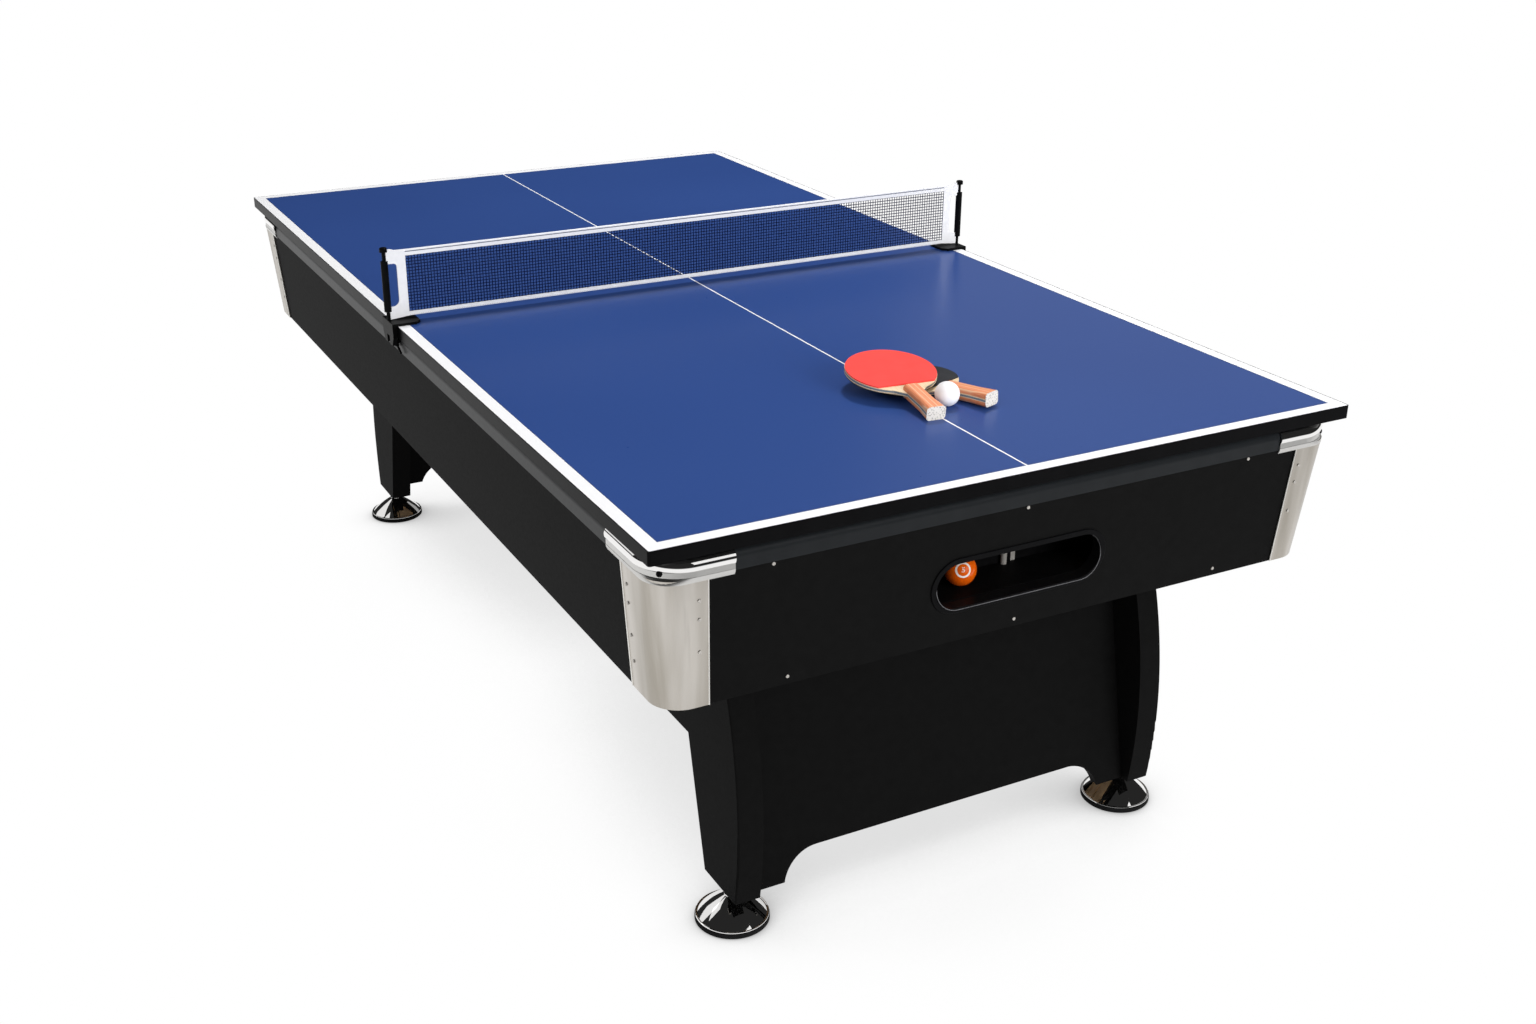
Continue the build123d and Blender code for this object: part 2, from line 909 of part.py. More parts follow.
def tray_hangers():
    """The bolt and the flat strip that hang the tray from the bed."""
    bolt_y = -tray_back_y - tray_bolt_radius - tray_bolt_wall_gap
    bolt = upright(tray_bolt_x, bolt_y, tray_bolt_radius, tray_floor, slab_bottom)
    strip = block(
        tray_strip_x - tray_strip_width / 2,
        tray_strip_x + tray_strip_width / 2,
        -tray_back_y - tray_strip_thickness,
        -tray_back_y,
        tray_floor,
        slab_bottom,
    )
    return [bolt, strip]


def pool_ball():
    """The ball in the tray."""
    y = -tray_back_y - pool_ball_radius - pool_ball_gap - rest_gap
    return Pos(pool_ball_x, y, tray_floor + pool_ball_radius + rest_gap) * Sphere(pool_ball_radius)


# Small pins
def end_face_pin(x, height, under):
    """A pin in the +Y face, cut to the surface that it sits on."""
    face_y = cabinet_low_y + tan(lean) * height
    head_y = face_y + pin_proud
    if under is plated_solid:
        head_y += plate_thickness
    pin = Pos(x, head_y - pin_radius, cabinet_bottom + height) * Rot(90, 0, 0)
    return pin * Cylinder(pin_radius, 2 * pin_radius) - under


def side_face_pin(y, height, under):
    """A pin in the +X face, cut to the surface that it sits on."""
    face_x = cabinet_low_x + tan(lean) * height
    head_x = face_x + pin_proud
    if under is plated_solid:
        head_x += plate_thickness
    pin = Pos(head_x - pin_radius, y, cabinet_bottom + height) * Rot(0, 90, 0)
    return pin * Cylinder(pin_radius, 2 * pin_radius) - under


def trim_pins():
    """The pins along the corner plates and in the end aprons."""
    pins = []
    for height in plate_pin_heights:
        share = height / apron_height
        end_wrap = plate_end_wrap_bottom + (plate_end_wrap_top - plate_end_wrap_bottom) * share
        side_wrap = plate_side_wrap_bottom + (plate_side_wrap_top - plate_side_wrap_bottom) * share
        x = cabinet_low_x + tan(lean) * height - end_wrap + pin_inset
        y = cabinet_low_y + tan(lean) * height - side_wrap + pin_inset
        for side, end in corners:
            pins.append(in_corner(end_face_pin(x, height, plated_solid), side, end))
            pins.append(in_corner(side_face_pin(y, height, plated_solid), side, end))
    for end in (-1, 1):
        for x in apron_upper_pin_xs:
            pins.append(in_corner(end_face_pin(x, apron_upper_pin_height, cabinet_solid), 1, end))
        for x in apron_lower_pin_xs:
            pins.append(in_corner(end_face_pin(x, apron_lower_pin_height, cabinet_solid), 1, end))
    return pins


# Table tennis top
def tennis_board():
    """The board inside its edge band."""
    face = RectangleRounded(
        2 * (board_half_x - edge_band), 2 * (board_half_y - edge_band), top_corner_radius - edge_band
    )
    return Pos(0, 0, board_bottom) * extrude(face, top_thickness)


def board_edge_band():
    """The glossy band around the board."""
    outer = RectangleRounded(2 * board_half_x, 2 * board_half_y, top_corner_radius)
    inner = RectangleRounded(
        2 * (board_half_x - edge_band), 2 * (board_half_y - edge_band), top_corner_radius - edge_band
    )
    return Pos(0, 0, board_bottom) * extrude(outer - inner, top_thickness)


def board_bearers():
    """Soft pads below the board that rest on the rails."""
    pads = []
    for side in (-1, 1):
        x = side * (rail_outer_x - bearer_inset - rail_edge_radius - bearer_width / 2)
        for share in side_bearer_shares:
            y = share * cap_start_y
            pads.append(
                block(
                    x - bearer_width / 2,
                    x + bearer_width / 2,
                    y - bearer_length / 2,
                    y + bearer_length / 2,
                    rail_top,
                    board_bottom,
                )
            )
    for end in (-1, 1):
        y = end * (rail_outer_y - bearer_inset - rail_edge_radius - bearer_width / 2)
        for share in end_bearer_shares:
            x = share * cap_start_x
            pads.append(
                block(
                    x - bearer_length / 2,
                    x + bearer_length / 2,
                    y - bearer_width / 2,
                    y + bearer_width / 2,
                    rail_top,
                    board_bottom,
                )
            )
    return pads


# Net set
def net_mesh():
    """The net between its tapes, as one holed sheet."""
    low = board_top + net_floor_gap + net_bottom_tape
    high = board_top + net_height - net_top_tape
    length = 2 * net_half_length
    column = length / net_columns
    row = (high - low) / net_rows
    bar = column * net_bar_share
    gap = Rectangle(column - bar, row - bar)
    gaps = [(place * gap).wire() for place in GridLocations(column, row, net_columns, net_rows)]
    sheet = Face(Rectangle(length, high - low).wire(), gaps)
    face = Plane.XZ * Pos(0, (low + high) / 2, -net_thickness / 2) * sheet
    return extrude(face, net_thickness)


def net_border():
    """The tapes and the two end pieces with their open middle."""
    low = board_top + net_floor_gap
    high = board_top + net_height
    inner = net_half_length
    outer = post_x - post_rod_radius - pocket_clearance
    spine = inner + net_sleeve_width
    top_tab_low = high - net_tab_top_height
    low_tab_high = low + net_tab_bottom_height
    half = net_tape_thickness / 2
    end_piece = Polyline(
        (inner, low),
        (outer, low - net_tab_bottom_drop),
        (outer, low_tab_high),
        (spine + net_tab_round, low_tab_high),
        (spine, low_tab_high + net_tab_round),
        (spine, top_tab_low - net_tab_round / 2),
        (spine + net_tab_round / 2, top_tab_low),
        (outer, top_tab_low),
        (outer, high + net_tab_top_step),
        (outer - net_tab_round, high + net_tab_top_step),
        (spine, high),
        (inner, high),
        close=True,
    )
    piece = extrude(Plane.XZ * make_face(end_piece), half, both=True)
    border = piece + mirror(piece, about=Plane.YZ)
    border += block(-inner, inner, -half, half, high - net_top_tape, high)
    border += block(-inner, inner, -half, half, low, low + net_bottom_tape)
    sleeve_low = board_top + post_sleeve_bottom
    sleeve_high = sleeve_low + post_sleeve_height
    cap_high = board_top + post_top
    for radius, drum_low, drum_high in (
        (post_sleeve_radius, sleeve_low, sleeve_high),
        (post_cap_radius, cap_high - post_cap_height, cap_high),
    ):
        for side in (-1, 1):
            border -= upright(
                side * post_x,
                0,
                radius + pocket_clearance,
                drum_low - pocket_clearance,
                drum_high + pocket_clearance,
            )
    return border


def net_clamp():
    """The +X clamp with its post: a body around the board's edge, rod, sleeve and cap."""
    pad_low = board_top + press_gap
    pad_high = pad_low + clamp_plate
    back_from = board_half_x + clamp_edge_gap
    back_to = back_from + clamp_back_thickness
    tip = board_half_x - clamp_reach_in
    plan = Polyline(
        (back_to, -clamp_half_width),
        (back_to, clamp_half_width),
        (tip + clamp_nose_half_width / 2, clamp_half_width),
        (tip, clamp_nose_half_width),
        (tip, -clamp_nose_half_width),
        (tip + clamp_nose_half_width / 2, -clamp_half_width),
        close=True,
    )
    pad = extrude(Pos(0, 0, pad_low) * make_face(plan), clamp_plate)
    bottom = board_top - clamp_drop
    back = along_x(
        [
            (-clamp_half_width, pad_high),
            (clamp_half_width, pad_high),
            (clamp_half_width, board_bottom),
            (clamp_foot_half_width, bottom),
            (clamp_notch_half_width, bottom),
            (clamp_notch_half_width, bottom + clamp_notch_height),
            (-clamp_notch_half_width, bottom + clamp_notch_height),
            (-clamp_notch_half_width, bottom),
            (-clamp_foot_half_width, bottom),
            (-clamp_half_width, board_bottom),
        ],
        back_from,
        back_to,
    )
    jaw_top = board_bottom - screw_pad_height - screw_travel
    jaw = block(
        rail_outer_x + clamp_jaw_side_gap,
        back_from,
        -clamp_jaw_half_width,
        clamp_jaw_half_width,
        jaw_top - clamp_jaw_thickness,
        jaw_top,
    )
    jaw -= upright(
        board_half_x - screw_x_inside,
        0,
        screw_radius + turning_clearance,
        jaw_top - clamp_jaw_thickness - overrun,
        jaw_top + overrun,
    )
    rod = upright(post_x, 0, post_rod_radius, pad_high, board_top + post_top - post_cap_height)
    sleeve_low = board_top + post_sleeve_bottom
    sleeve = upright(post_x, 0, post_sleeve_radius, sleeve_low, sleeve_low + post_sleeve_height)
    cap_middle = board_top + post_top - post_cap_height / 2
    cap = Pos(post_x, 0, cap_middle) * Cylinder(post_cap_radius, post_cap_height)
    cap = fillet(cap.edges().group_by(Axis.Z)[-1], post_cap_height / 3)
    return pad + back + jaw + rod + sleeve + cap


def clamp_pad():
    """The small steel pad that the screw presses against the board's underside."""
    x = board_half_x - screw_x_inside
    top = board_bottom - press_gap
    return upright(x, 0, screw_pad_radius, top - screw_pad_height, top)


def clamp_screw():
    """The clamp's screw with its bent handle, below the pad."""
    x = board_half_x - screw_x_inside
    top = board_bottom - press_gap - screw_pad_height - press_gap
    jaw_top = board_bottom - screw_pad_height - screw_travel
    head_top = jaw_top - clamp_jaw_thickness - screw_travel
    head_low = head_top - screw_head_height
    shank = upright(x, 0, screw_radius, head_top, top)
    head = upright(x, 0, screw_head_radius, head_low, head_top)
    middle = (head_low + head_top) / 2
    arm = Pos(x, 0, middle) * Rot(90 + lever_droop, 0, 0) * Pos(0, 0, lever_length / 2)
    lever = arm * Cylinder(lever_radius, lever_length)
    lever += Pos(x, 0, middle) * Rot(90 + lever_droop, 0, 0) * Pos(0, 0, lever_length) * Sphere(lever_radius)
    return shank + head + lever


# Paddles and ball
def blade():
    """A paddle's plywood blade and handle core, flat, with the handle towards -Y."""
    half = ply_thickness / 2
    oval = Ellipse(blade_half_width, blade_half_length)
    sides = []
    for side in (-1, 1):
        middle = (
            side * ((shoulder_half_width + handle_half_width) / 2 - shoulder_sag),
            -(shoulder_start + shoulder_end) / 2 - shoulder_sag,
        )
        sides.append(
            ThreePointArc(
                (side * shoulder_half_width, -shoulder_start),
                middle,
                (side * handle_half_width, -shoulder_end),
            )
        )
    closing = Polyline(
        (handle_half_width, -shoulder_end),
        (handle_half_width, -handle_flare_start),
        (handle_flare_half_width, -handle_end),
        (-handle_flare_half_width, -handle_end),
        (-handle_half_width, -handle_flare_start),
        (-handle_half_width, -shoulder_end),
    )
    top = Line((-shoulder_half_width, -shoulder_start), (shoulder_half_width, -shoulder_start))
    core = make_face(sides[0] + sides[1] + closing + top)
    return extrude(oval + core, half, both=True)


def rubber_sheets():
    """The two rubber sheets, ending in a straight line before the handle."""
    oval = Ellipse(blade_half_width - rubber_inset, blade_half_length - rubber_inset)
    keep = Pos(0, (blade_half_length - rubber_end) / 2) * Rectangle(
        2 * blade_half_width, blade_half_length + rubber_end
    )
    sheet = extrude(Pos(0, 0, ply_thickness / 2) * (oval & keep), rubber_thickness)
    return [sheet, mirror(sheet, about=Plane.XY)]


def grip_scales():
    """The two wooden scales of the handle, rounded on the outside."""
    outline = Polyline(
        (handle_half_width, -handle_start),
        (handle_half_width, -handle_flare_start),
        (handle_flare_half_width, -handle_end),
        (-handle_flare_half_width, -handle_end),
        (-handle_half_width, -handle_flare_start),
        (-handle_half_width, -handle_start),
        close=True,
    )
    scale = extrude(Pos(0, 0, ply_thickness / 2) * make_face(outline), scale_thickness)
    top_edges = scale.edges().group_by(Axis.Z)[-1]
    long_edges = [edge for edge in top_edges if abs(edge.tangent_at(0).Y) > sin(radians(45))]
    scale = fillet(long_edges, scale_edge_radius)
    return [scale, mirror(scale, about=Plane.XY)]


def paddle_location(place, turn, raise_angle):
    """Turns a flat paddle on the board and leans it, with its lowest point just on the board."""
    grip_drop = ply_thickness / 2 + scale_thickness
    reach = max(handle_start * sin(raise_angle), handle_end * sin(raise_angle))
    lift = board_top + rest_gap + grip_drop * cos(raise_angle) + reach
    return Pos(place[0], place[1], lift) * Rot(0, 0, turn) * Rot(degrees(raise_angle), 0, 0)


def flat_lean():
    """Lean of a paddle that lies on the start of its grip and on the tip of its blade."""
    rise = scale_thickness - rubber_thickness
    return -atan(rise / (handle_start + blade_half_length - rubber_inset))


def inside_blade(x, y, place, turn):
    """Whether a point of the plan lies on the blade of a paddle."""
    dx = x - place[0]
    dy = y - place[1]
    across = dx * cos(radians(turn)) + dy * sin(radians(turn))
    along = dy * cos(radians(turn)) - dx * sin(radians(turn))
    return (across / blade_half_width) ** 2 + (along / blade_half_length) ** 2 <= 1


def resting_lean():
    """Lean of the red paddle, whose blade lies on the black one and whose handle on the board."""
    rubber_face = ply_thickness / 2 + rubber_thickness
    grip_drop = ply_thickness / 2 + scale_thickness
    lower = paddle_location(black_paddle_place, black_paddle_turn, flat_lean())
    face = Plane(lower)
    origin = face.origin + face.z_dir * rubber_face
    end_x = red_paddle_place[0] + sin(radians(red_paddle_turn)) * handle_end
    end_y = red_paddle_place[1] - cos(radians(red_paddle_turn)) * handle_end
    steepest = 0
    for place, turn, other, other_turn in (
        (red_paddle_place, red_paddle_turn, black_paddle_place, black_paddle_turn),
        (black_paddle_place, black_paddle_turn, red_paddle_place, red_paddle_turn),
    ):
        for step in range(outline_samples):
            angle = 2 * pi * step / outline_samples
            across = blade_half_width * cos(angle)
            along = blade_half_length * sin(angle)
            x = place[0] + across * cos(radians(turn)) - along * sin(radians(turn))
            y = place[1] + across * sin(radians(turn)) + along * cos(radians(turn))
            if inside_blade(x, y, other, other_turn):
                tilt_x = face.z_dir.X * (x - origin.X)
                tilt_y = face.z_dir.Y * (y - origin.Y)
                surface = origin.Z - (tilt_x + tilt_y) / face.z_dir.Z
                distance = (end_x - x) * sin(radians(red_paddle_turn))
                distance -= (end_y - y) * cos(radians(red_paddle_turn))
                rise = surface + paddle_gap - board_top - grip_drop + rubber_face
                steepest = max(steepest, atan2(rise, distance))
    return steepest


def tennis_ball():
    """The hollow table tennis ball."""
    x, y = tennis_ball_place
    ball = Sphere(tennis_ball_radius) - Sphere(tennis_ball_radius - tennis_ball_shell)
    return Pos(x, y, board_top + tennis_ball_radius + rest_gap) * ball


def save(name, *shapes):
    """Writes one node."""
    solids = []
    for shape in shapes:
        solids += shape.solids()
    whole = solids[0] if len(solids) == 1 else Compound(children=solids)
    export_step(whole, os.path.join("parts", name + ".step"))


def main():
    os.makedirs("parts", exist_ok=True)
    words = {(-1, -1): "left_near", (1, -1): "right_near", (-1, 1): "left_far", (1, 1): "right_far"}
    one_leg = leg()
    one_disc = foot_disc()
    one_pad = foot_pad()
    one_liner = corner_liner()
    for side, end in corners:
        word = words[(side, end)]
        save("leg_" + word, in_corner(one_leg, side, end))
        save("foot_disc_" + word, in_corner(one_disc, side, end))
        save("foot_pad_" + word, in_corner(one_pad, side, end))
        save("pocket_liner_" + word, in_corner(one_liner, side, end))
    one_panel = end_panel()
    for end, word in ((-1, "near"), (1, "far")):
        save("end_panel_" + word, in_corner(one_panel, 1, end))
        save("apron_" + word, end_apron(end))
        save("rail_" + word, end_rail(end))
    one_beam = side_beam()
    one_side_liner = side_liner()
    one_runway = runway()
    for side, word in ((-1, "left"), (1, "right")):
        save("side_beam_" + word, in_corner(one_beam, side, 1))
        save("apron_" + word, side_apron(side))
        save("rail_" + word, side_rail(side))
        save("pocket_liner_" + word, in_corner(one_side_liner, side, 1))
        save("ball_runway_" + word, in_corner(one_runway, side, 1))
        save("net_clamp_" + word, in_corner(net_clamp(), side, 1))
        save("clamp_pad_" + word, in_corner(clamp_pad(), side, 1))
        save("clamp_screw_" + word, in_corner(clamp_screw(), side, -side))
    save("corner_plates", *corner_plates())
    save("corner_caps", *corner_caps())
    save("cushions", *cushions())
    save("bed_slab", bed_layer(slab_bottom, slab_top))
    save("bed_cloth", bed_layer(slab_top, cloth_top))
    save("cross_beams", *cross_beams())
    save("return_bezel", return_bezel())
    save("ball_tray", ball_tray())
    save("fasteners", *leg_inserts(), *trim_pins(), *tray_hangers())
    save("pool_ball", pool_ball())
    save("tennis_board", tennis_board())
    save("board_edge_band", board_edge_band())
    save("board_bearers", *board_bearers())
    save("net_mesh", net_mesh())
    save("net_border", net_border())
    save("tennis_ball", tennis_ball())
    red = paddle_location(red_paddle_place, red_paddle_turn, resting_lean())
    black = paddle_location(black_paddle_place, black_paddle_turn, flat_lean())
    for word, location in (("red", red), ("black", black)):
        save("paddle_" + word + "_blade", location * blade())
        save("paddle_" + word + "_rubber", *[location * sheet for sheet in rubber_sheets()])
        save("paddle_" + word + "_grip", *[location * scale for scale in grip_scales()])


main()
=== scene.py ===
"""Looks of the multi game table: a pool table that wears a lift-off table tennis top.

All lengths are in metres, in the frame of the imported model: +X across, +Y along, +Z up, with the
ball return opening at -Y.
"""
import math

import bmesh
import bpy
from mathutils import Matrix, Vector

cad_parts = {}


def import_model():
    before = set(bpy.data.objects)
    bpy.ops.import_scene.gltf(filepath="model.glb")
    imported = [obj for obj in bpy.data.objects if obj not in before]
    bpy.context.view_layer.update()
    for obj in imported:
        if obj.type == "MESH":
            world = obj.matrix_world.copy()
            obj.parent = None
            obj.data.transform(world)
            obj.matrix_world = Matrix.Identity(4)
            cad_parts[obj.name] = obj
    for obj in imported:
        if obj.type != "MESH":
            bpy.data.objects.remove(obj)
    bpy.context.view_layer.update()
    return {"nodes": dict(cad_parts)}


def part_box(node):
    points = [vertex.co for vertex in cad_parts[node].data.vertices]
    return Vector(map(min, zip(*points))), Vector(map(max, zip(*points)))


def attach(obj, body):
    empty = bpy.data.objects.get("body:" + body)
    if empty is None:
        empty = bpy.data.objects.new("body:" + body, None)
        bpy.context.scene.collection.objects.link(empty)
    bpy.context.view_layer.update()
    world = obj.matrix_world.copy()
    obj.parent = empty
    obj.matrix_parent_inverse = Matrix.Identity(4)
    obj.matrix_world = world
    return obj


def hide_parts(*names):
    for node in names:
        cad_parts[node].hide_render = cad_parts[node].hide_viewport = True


MM = 0.001

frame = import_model()
nodes = frame["nodes"]

# Camera: a 40 mm lens on a 36 mm wide frame of 1536 by 1024 pixels
IMAGE_WIDTH = 1536
IMAGE_HEIGHT = 1024
FOCAL_PIXELS = 1694.75
CENTRE_PIXEL = (757.3, 510.1)
CAMERA_PLACE = Vector((-1.40675, -2.92236, 1.68196))
CAMERA_YAW = 0.487
CAMERA_PITCH = -0.407
CAMERA_ROLL = 0.005

# Painted lines of the board
LINE_WIDTH = 23 * MM
CENTRE_LINE_WIDTH = 3 * MM
PAINT_THICKNESS = 0.12 * MM
SHADE_LINE_WIDTH = 1.6 * MM
EDGE_BAND = 1.5 * MM

# Net, tapes and end pieces
MESH_PITCH = 5.75 * MM
THREAD_RADIUS = 0.8 * MM
KNOT_RADIUS = 1.4 * MM
TOP_TAPE = 12 * MM
TOP_CORD = 2 * MM
BOTTOM_TAPE = 8 * MM
STITCH_LENGTH = 2.2 * MM
STITCH_PITCH = 3.4 * MM

CORNERS = {
    (-1, -1): "left_near",
    (1, -1): "right_near",
    (-1, 1): "left_far",
    (1, 1): "right_far",
}

# Corner caps, as the model has them
CAP_OUTER_X = 602 * MM
CAP_OUTER_Y = 1112 * MM
CAP_START_X = 480 * MM
CAP_START_Y = 960 * MM
CAP_RADIUS = 66 * MM
CAP_SCREW_HEIGHT = 726.75 * MM

# Lower edge of the caps' lips, on the face of the corner plates, and the skirt's edge above it
CAP_FOOT_X = 599.0 * MM
CAP_FOOT_Y = 1109.0 * MM
CAP_FOOT_RADIUS = 47 * MM
CAP_FOOT_HEIGHT = 711.5 * MM
CAP_SKIRT_HEIGHT = 720.5 * MM

# Outer face of the corner plates at its lower and upper end, each as x, y and height
PLATE_END_EDGE = ((511 * MM, 1092.2 * MM, 512 * MM), (519 * MM, 1109.2 * MM, 717.5 * MM))
PLATE_SIDE_EDGE = ((582.2 * MM, 994 * MM, 512 * MM), (599.2 * MM, 1002 * MM, 717.5 * MM))

# Ball return: half length and end radius of its opening, lean of the apron, and the lip on its trim
RETURN_HALF_LENGTH = 148.5 * MM
RETURN_RADIUS = 37.5 * MM
RETURN_LEAN = math.atan(17 / 205.5)
RETURN_FACE_INSET = 4.4 * MM
BEZEL_LIP_RADIUS = 0.65 * MM

# Rings of the feet, each as radius, height and radius of its section
FOOT_RINGS = ((58.3 * MM, 10.6 * MM, 1.6 * MM), (12.3 * MM, 45.9 * MM, 0.8 * MM))

# Light
WORLD_LIGHT = 0.44
DARK_CEILING = 0.02
FLOOR_COLOUR = 0.8

# Along Y, where the floor in front of the table is dark in gloss, and where it is lit
LIT_FLOOR = (-3.3, -2.3)

# Floor shadows, wide and close: reach, the openness at which one is darkest and where it ends, and
# how light it is at its darkest
SHADOWS = ((0.9, 0.37, 0.66, 0.76), (0.24, 0.4, 0.92, 0.62))

# Balls
POOL_BALL_RADIUS = 25.4 * MM
TENNIS_BALL_RADIUS = 20 * MM


def screen(red, green, blue):
    """A screen colour, 0 to 255 a channel, as the linear colour that a shader takes."""
    shares = (channel / 255 for channel in (red, green, blue))
    linear = [s / 12.92 if s <= 0.04045 else ((s + 0.055) / 1.055) ** 2.4 for s in shares]
    return (*linear, 1.0)


class Finish:
    """A material in the making: a Principled shader and the nodes that feed it."""

    def __init__(self, name, colour, roughness, **sockets):
        self.material = bpy.data.materials.new(name)
        self.material.use_nodes = True
        self.tree = self.material.node_tree
        self.shader = self.tree.nodes["Principled BSDF"]
        self.set("Base Color", colour)
        self.set("Roughness", roughness)
        for socket, value in sockets.items():
            self.set(socket.replace("_", " "), value)

    def set(self, socket, value):
        """Sets one socket of the shader, or links it where the value is a node's output."""
        target = self.shader.inputs[socket]
        if isinstance(value, bpy.types.NodeSocket):
            self.tree.links.new(value, target)
        else:
            target.default_value = value

    def add(self, kind, **settings):
        """A node of that kind with those settings."""
        made = self.tree.nodes.new(kind)
        for setting, value in settings.items():
            setattr(made, setting, value)
        return made

    def feed(self, made, **inputs):
        """Fills a node's inputs, each with a value or another node's output."""
        for socket, value in inputs.items():
            target = made.inputs[socket.replace("_", " ")]
            if isinstance(value, bpy.types.NodeSocket):
                self.tree.links.new(value, target)
            else:
                target.default_value = value
        return made

    def place(self, stretch=(1, 1, 1)):
        """The point on the object in the frame of the model, stretched along each axis."""
        point = self.add("ShaderNodeTexCoord").outputs["Object"]
        mapping = self.feed(self.add("ShaderNodeMapping"), Vector=point, Scale=stretch)
        return mapping.outputs["Vector"]

    def noise(self, scale, stretch=(1, 1, 1), detail=3.0, roughness=0.5, distortion=0.0):
        """Noise with that many cells a metre."""
        made = self.feed(
            self.add("ShaderNodeTexNoise"),
            Vector=self.place(stretch),
            Scale=scale,
            Detail=detail,
            Roughness=roughness,
            Distortion=distortion,
        )
        return made.outputs["Fac"]

    def span(self, value, from_low, from_high, to_low, to_high):
        """A value moved from one range to another, held at its ends."""
        made = self.add("ShaderNodeMapRange", clamp=True)
        self.feed(
            made,
            Value=value,
            From_Min=from_low,
            From_Max=from_high,
            To_Min=to_low,
            To_Max=to_high,
        )
        return made.outputs["Result"]

    def blend(self, factor, first, second):
        """A colour between two others."""
        made = self.add("ShaderNodeMix", data_type="RGBA")
        for index, value in ((0, factor), (6, first), (7, second)):
            if isinstance(value, bpy.types.NodeSocket):
                self.tree.links.new(value, made.inputs[index])
            else:
                made.inputs[index].default_value = value
        return made.outputs[2]

    def reckon(self, operation, first, second=0.0):
        """One step of arithmetic."""
        made = self.add("ShaderNodeMath", operation=operation)
        for index, value in enumerate((first, second)):
            if isinstance(value, bpy.types.NodeSocket):
                self.tree.links.new(value, made.inputs[index])
            else:
                made.inputs[index].default_value = value
        return made.outputs["Value"]

    def along(self, direction, origin):
        """How far a point lies along a direction from an origin."""
        offset = self.add("ShaderNodeVectorMath", operation="SUBTRACT")
        self.tree.links.new(self.place(), offset.inputs[0])
        offset.inputs[1].default_value = origin
        dot = self.add("ShaderNodeVectorMath", operation="DOT_PRODUCT")
        self.tree.links.new(offset.outputs["Vector"], dot.inputs[0])
        dot.inputs[1].default_value = direction
        return dot.outputs["Value"]

    def bump(self, height, distance, strength=1.0):
        """Roughens the surface by a height map of that depth."""
        made = self.feed(
            self.add("ShaderNodeBump"), Height=height, Distance=distance, Strength=strength
        )
        self.set("Normal", made.outputs["Normal"])


def speckled(name, dark, light, scale, roughness, grain, depth, **sockets):
    """A finish that varies between two colours, with a fine grain of that depth."""
    finish = Finish(name, dark, roughness, **sockets)
    cloudy = finish.noise(scale)
    finish.set("Base Color", finish.blend(finish.span(cloudy, 0.2, 0.8, 0, 1), dark, light))
    uneven = finish.noise(scale * 3)
    finish.set("Roughness", finish.span(uneven, 0, 1, roughness * 0.9, min(1, roughness * 1.1)))
    finish.bump(finish.noise(grain, detail=2), depth)
    return finish


def laminate():
    """Black melamine laminate with a fine pressed grain."""
    return speckled(
        "black_laminate", screen(13, 13, 13), screen(16, 16, 16), 60, 0.58, 1400, 0.02 * MM,
        Specular_IOR_Level=0.025,
    )


def rail_lacquer():
    """Black lacquer of the rails, a little glossier and cooler than the laminate."""
    return speckled(
        "rail_lacquer", screen(22, 24, 26), screen(26, 28, 30), 40, 0.36, 900, 0.015 * MM,
        Specular_IOR_Level=0.15,
    )


def gloss_trim():
    """Glossy black edging and bezel."""
    return speckled(
        "gloss_trim", screen(9, 9, 10), screen(12, 12, 13), 30, 0.3, 300, 0.02 * MM,
        Specular_IOR_Level=0.03,
    )


def moulded(name, tone, roughness):
    """Moulded black plastic or rubber with a fine texture."""
    return speckled(
        name, screen(tone, tone, tone), screen(tone + 7, tone + 7, tone + 8), 80, roughness,
        1100, 0.05 * MM, Specular_IOR_Level=0.05,
    )


def chrome():
    """Mirror chrome with faint smears and a slight waviness of the plated casting."""
    finish = Finish("chrome", (0.88, 0.87, 0.86, 1), 0.04, Metallic=1.0)
    smears = finish.noise(45, detail=5)
    finish.set("Roughness", finish.span(smears, 0.4, 0.75, 0.02, 0.07))
    finish.bump(finish.noise(18, detail=1), 0.5 * MM)
    return finish


def cast_metal():
    """Satin lip and inside of the caps, ground but not polished."""
    finish = Finish("cast_metal", (0.6, 0.6, 0.6, 1), 0.4, Metallic=1.0)
    ground = finish.noise(140, stretch=(1, 1, 3), detail=4)
    finish.set("Base Color", finish.blend(ground, screen(196, 195, 193), screen(226, 225, 222)))
    finish.set("Roughness", finish.span(ground, 0.2, 0.8, 0.28, 0.46))
    finish.bump(ground, 0.02 * MM)
    return finish


def satin_aluminium():
    """Satin plates with soft vertical streaks from brushing."""
    finish = Finish("satin_aluminium", (0.5, 0.48, 0.45, 1), 0.34, Metallic=1.0)
    broad = finish.noise(26, stretch=(1, 1, 0.05), detail=2)
    fine = finish.noise(240, stretch=(1, 1, 0.02), detail=2)
    streaks = finish.reckon(
        "ADD", finish.reckon("MULTIPLY", broad, 0.85), finish.reckon("MULTIPLY", fine, 0.15)
    )
    shares = finish.span(streaks, 0.36, 0.64, 0, 1)
    finish.set("Base Color", finish.blend(shares, screen(173, 167, 157), screen(209, 204, 197)))
    finish.set("Roughness", finish.span(fine, 0.3, 0.7, 0.3, 0.4))
    finish.bump(fine, 0.01 * MM)
    return finish


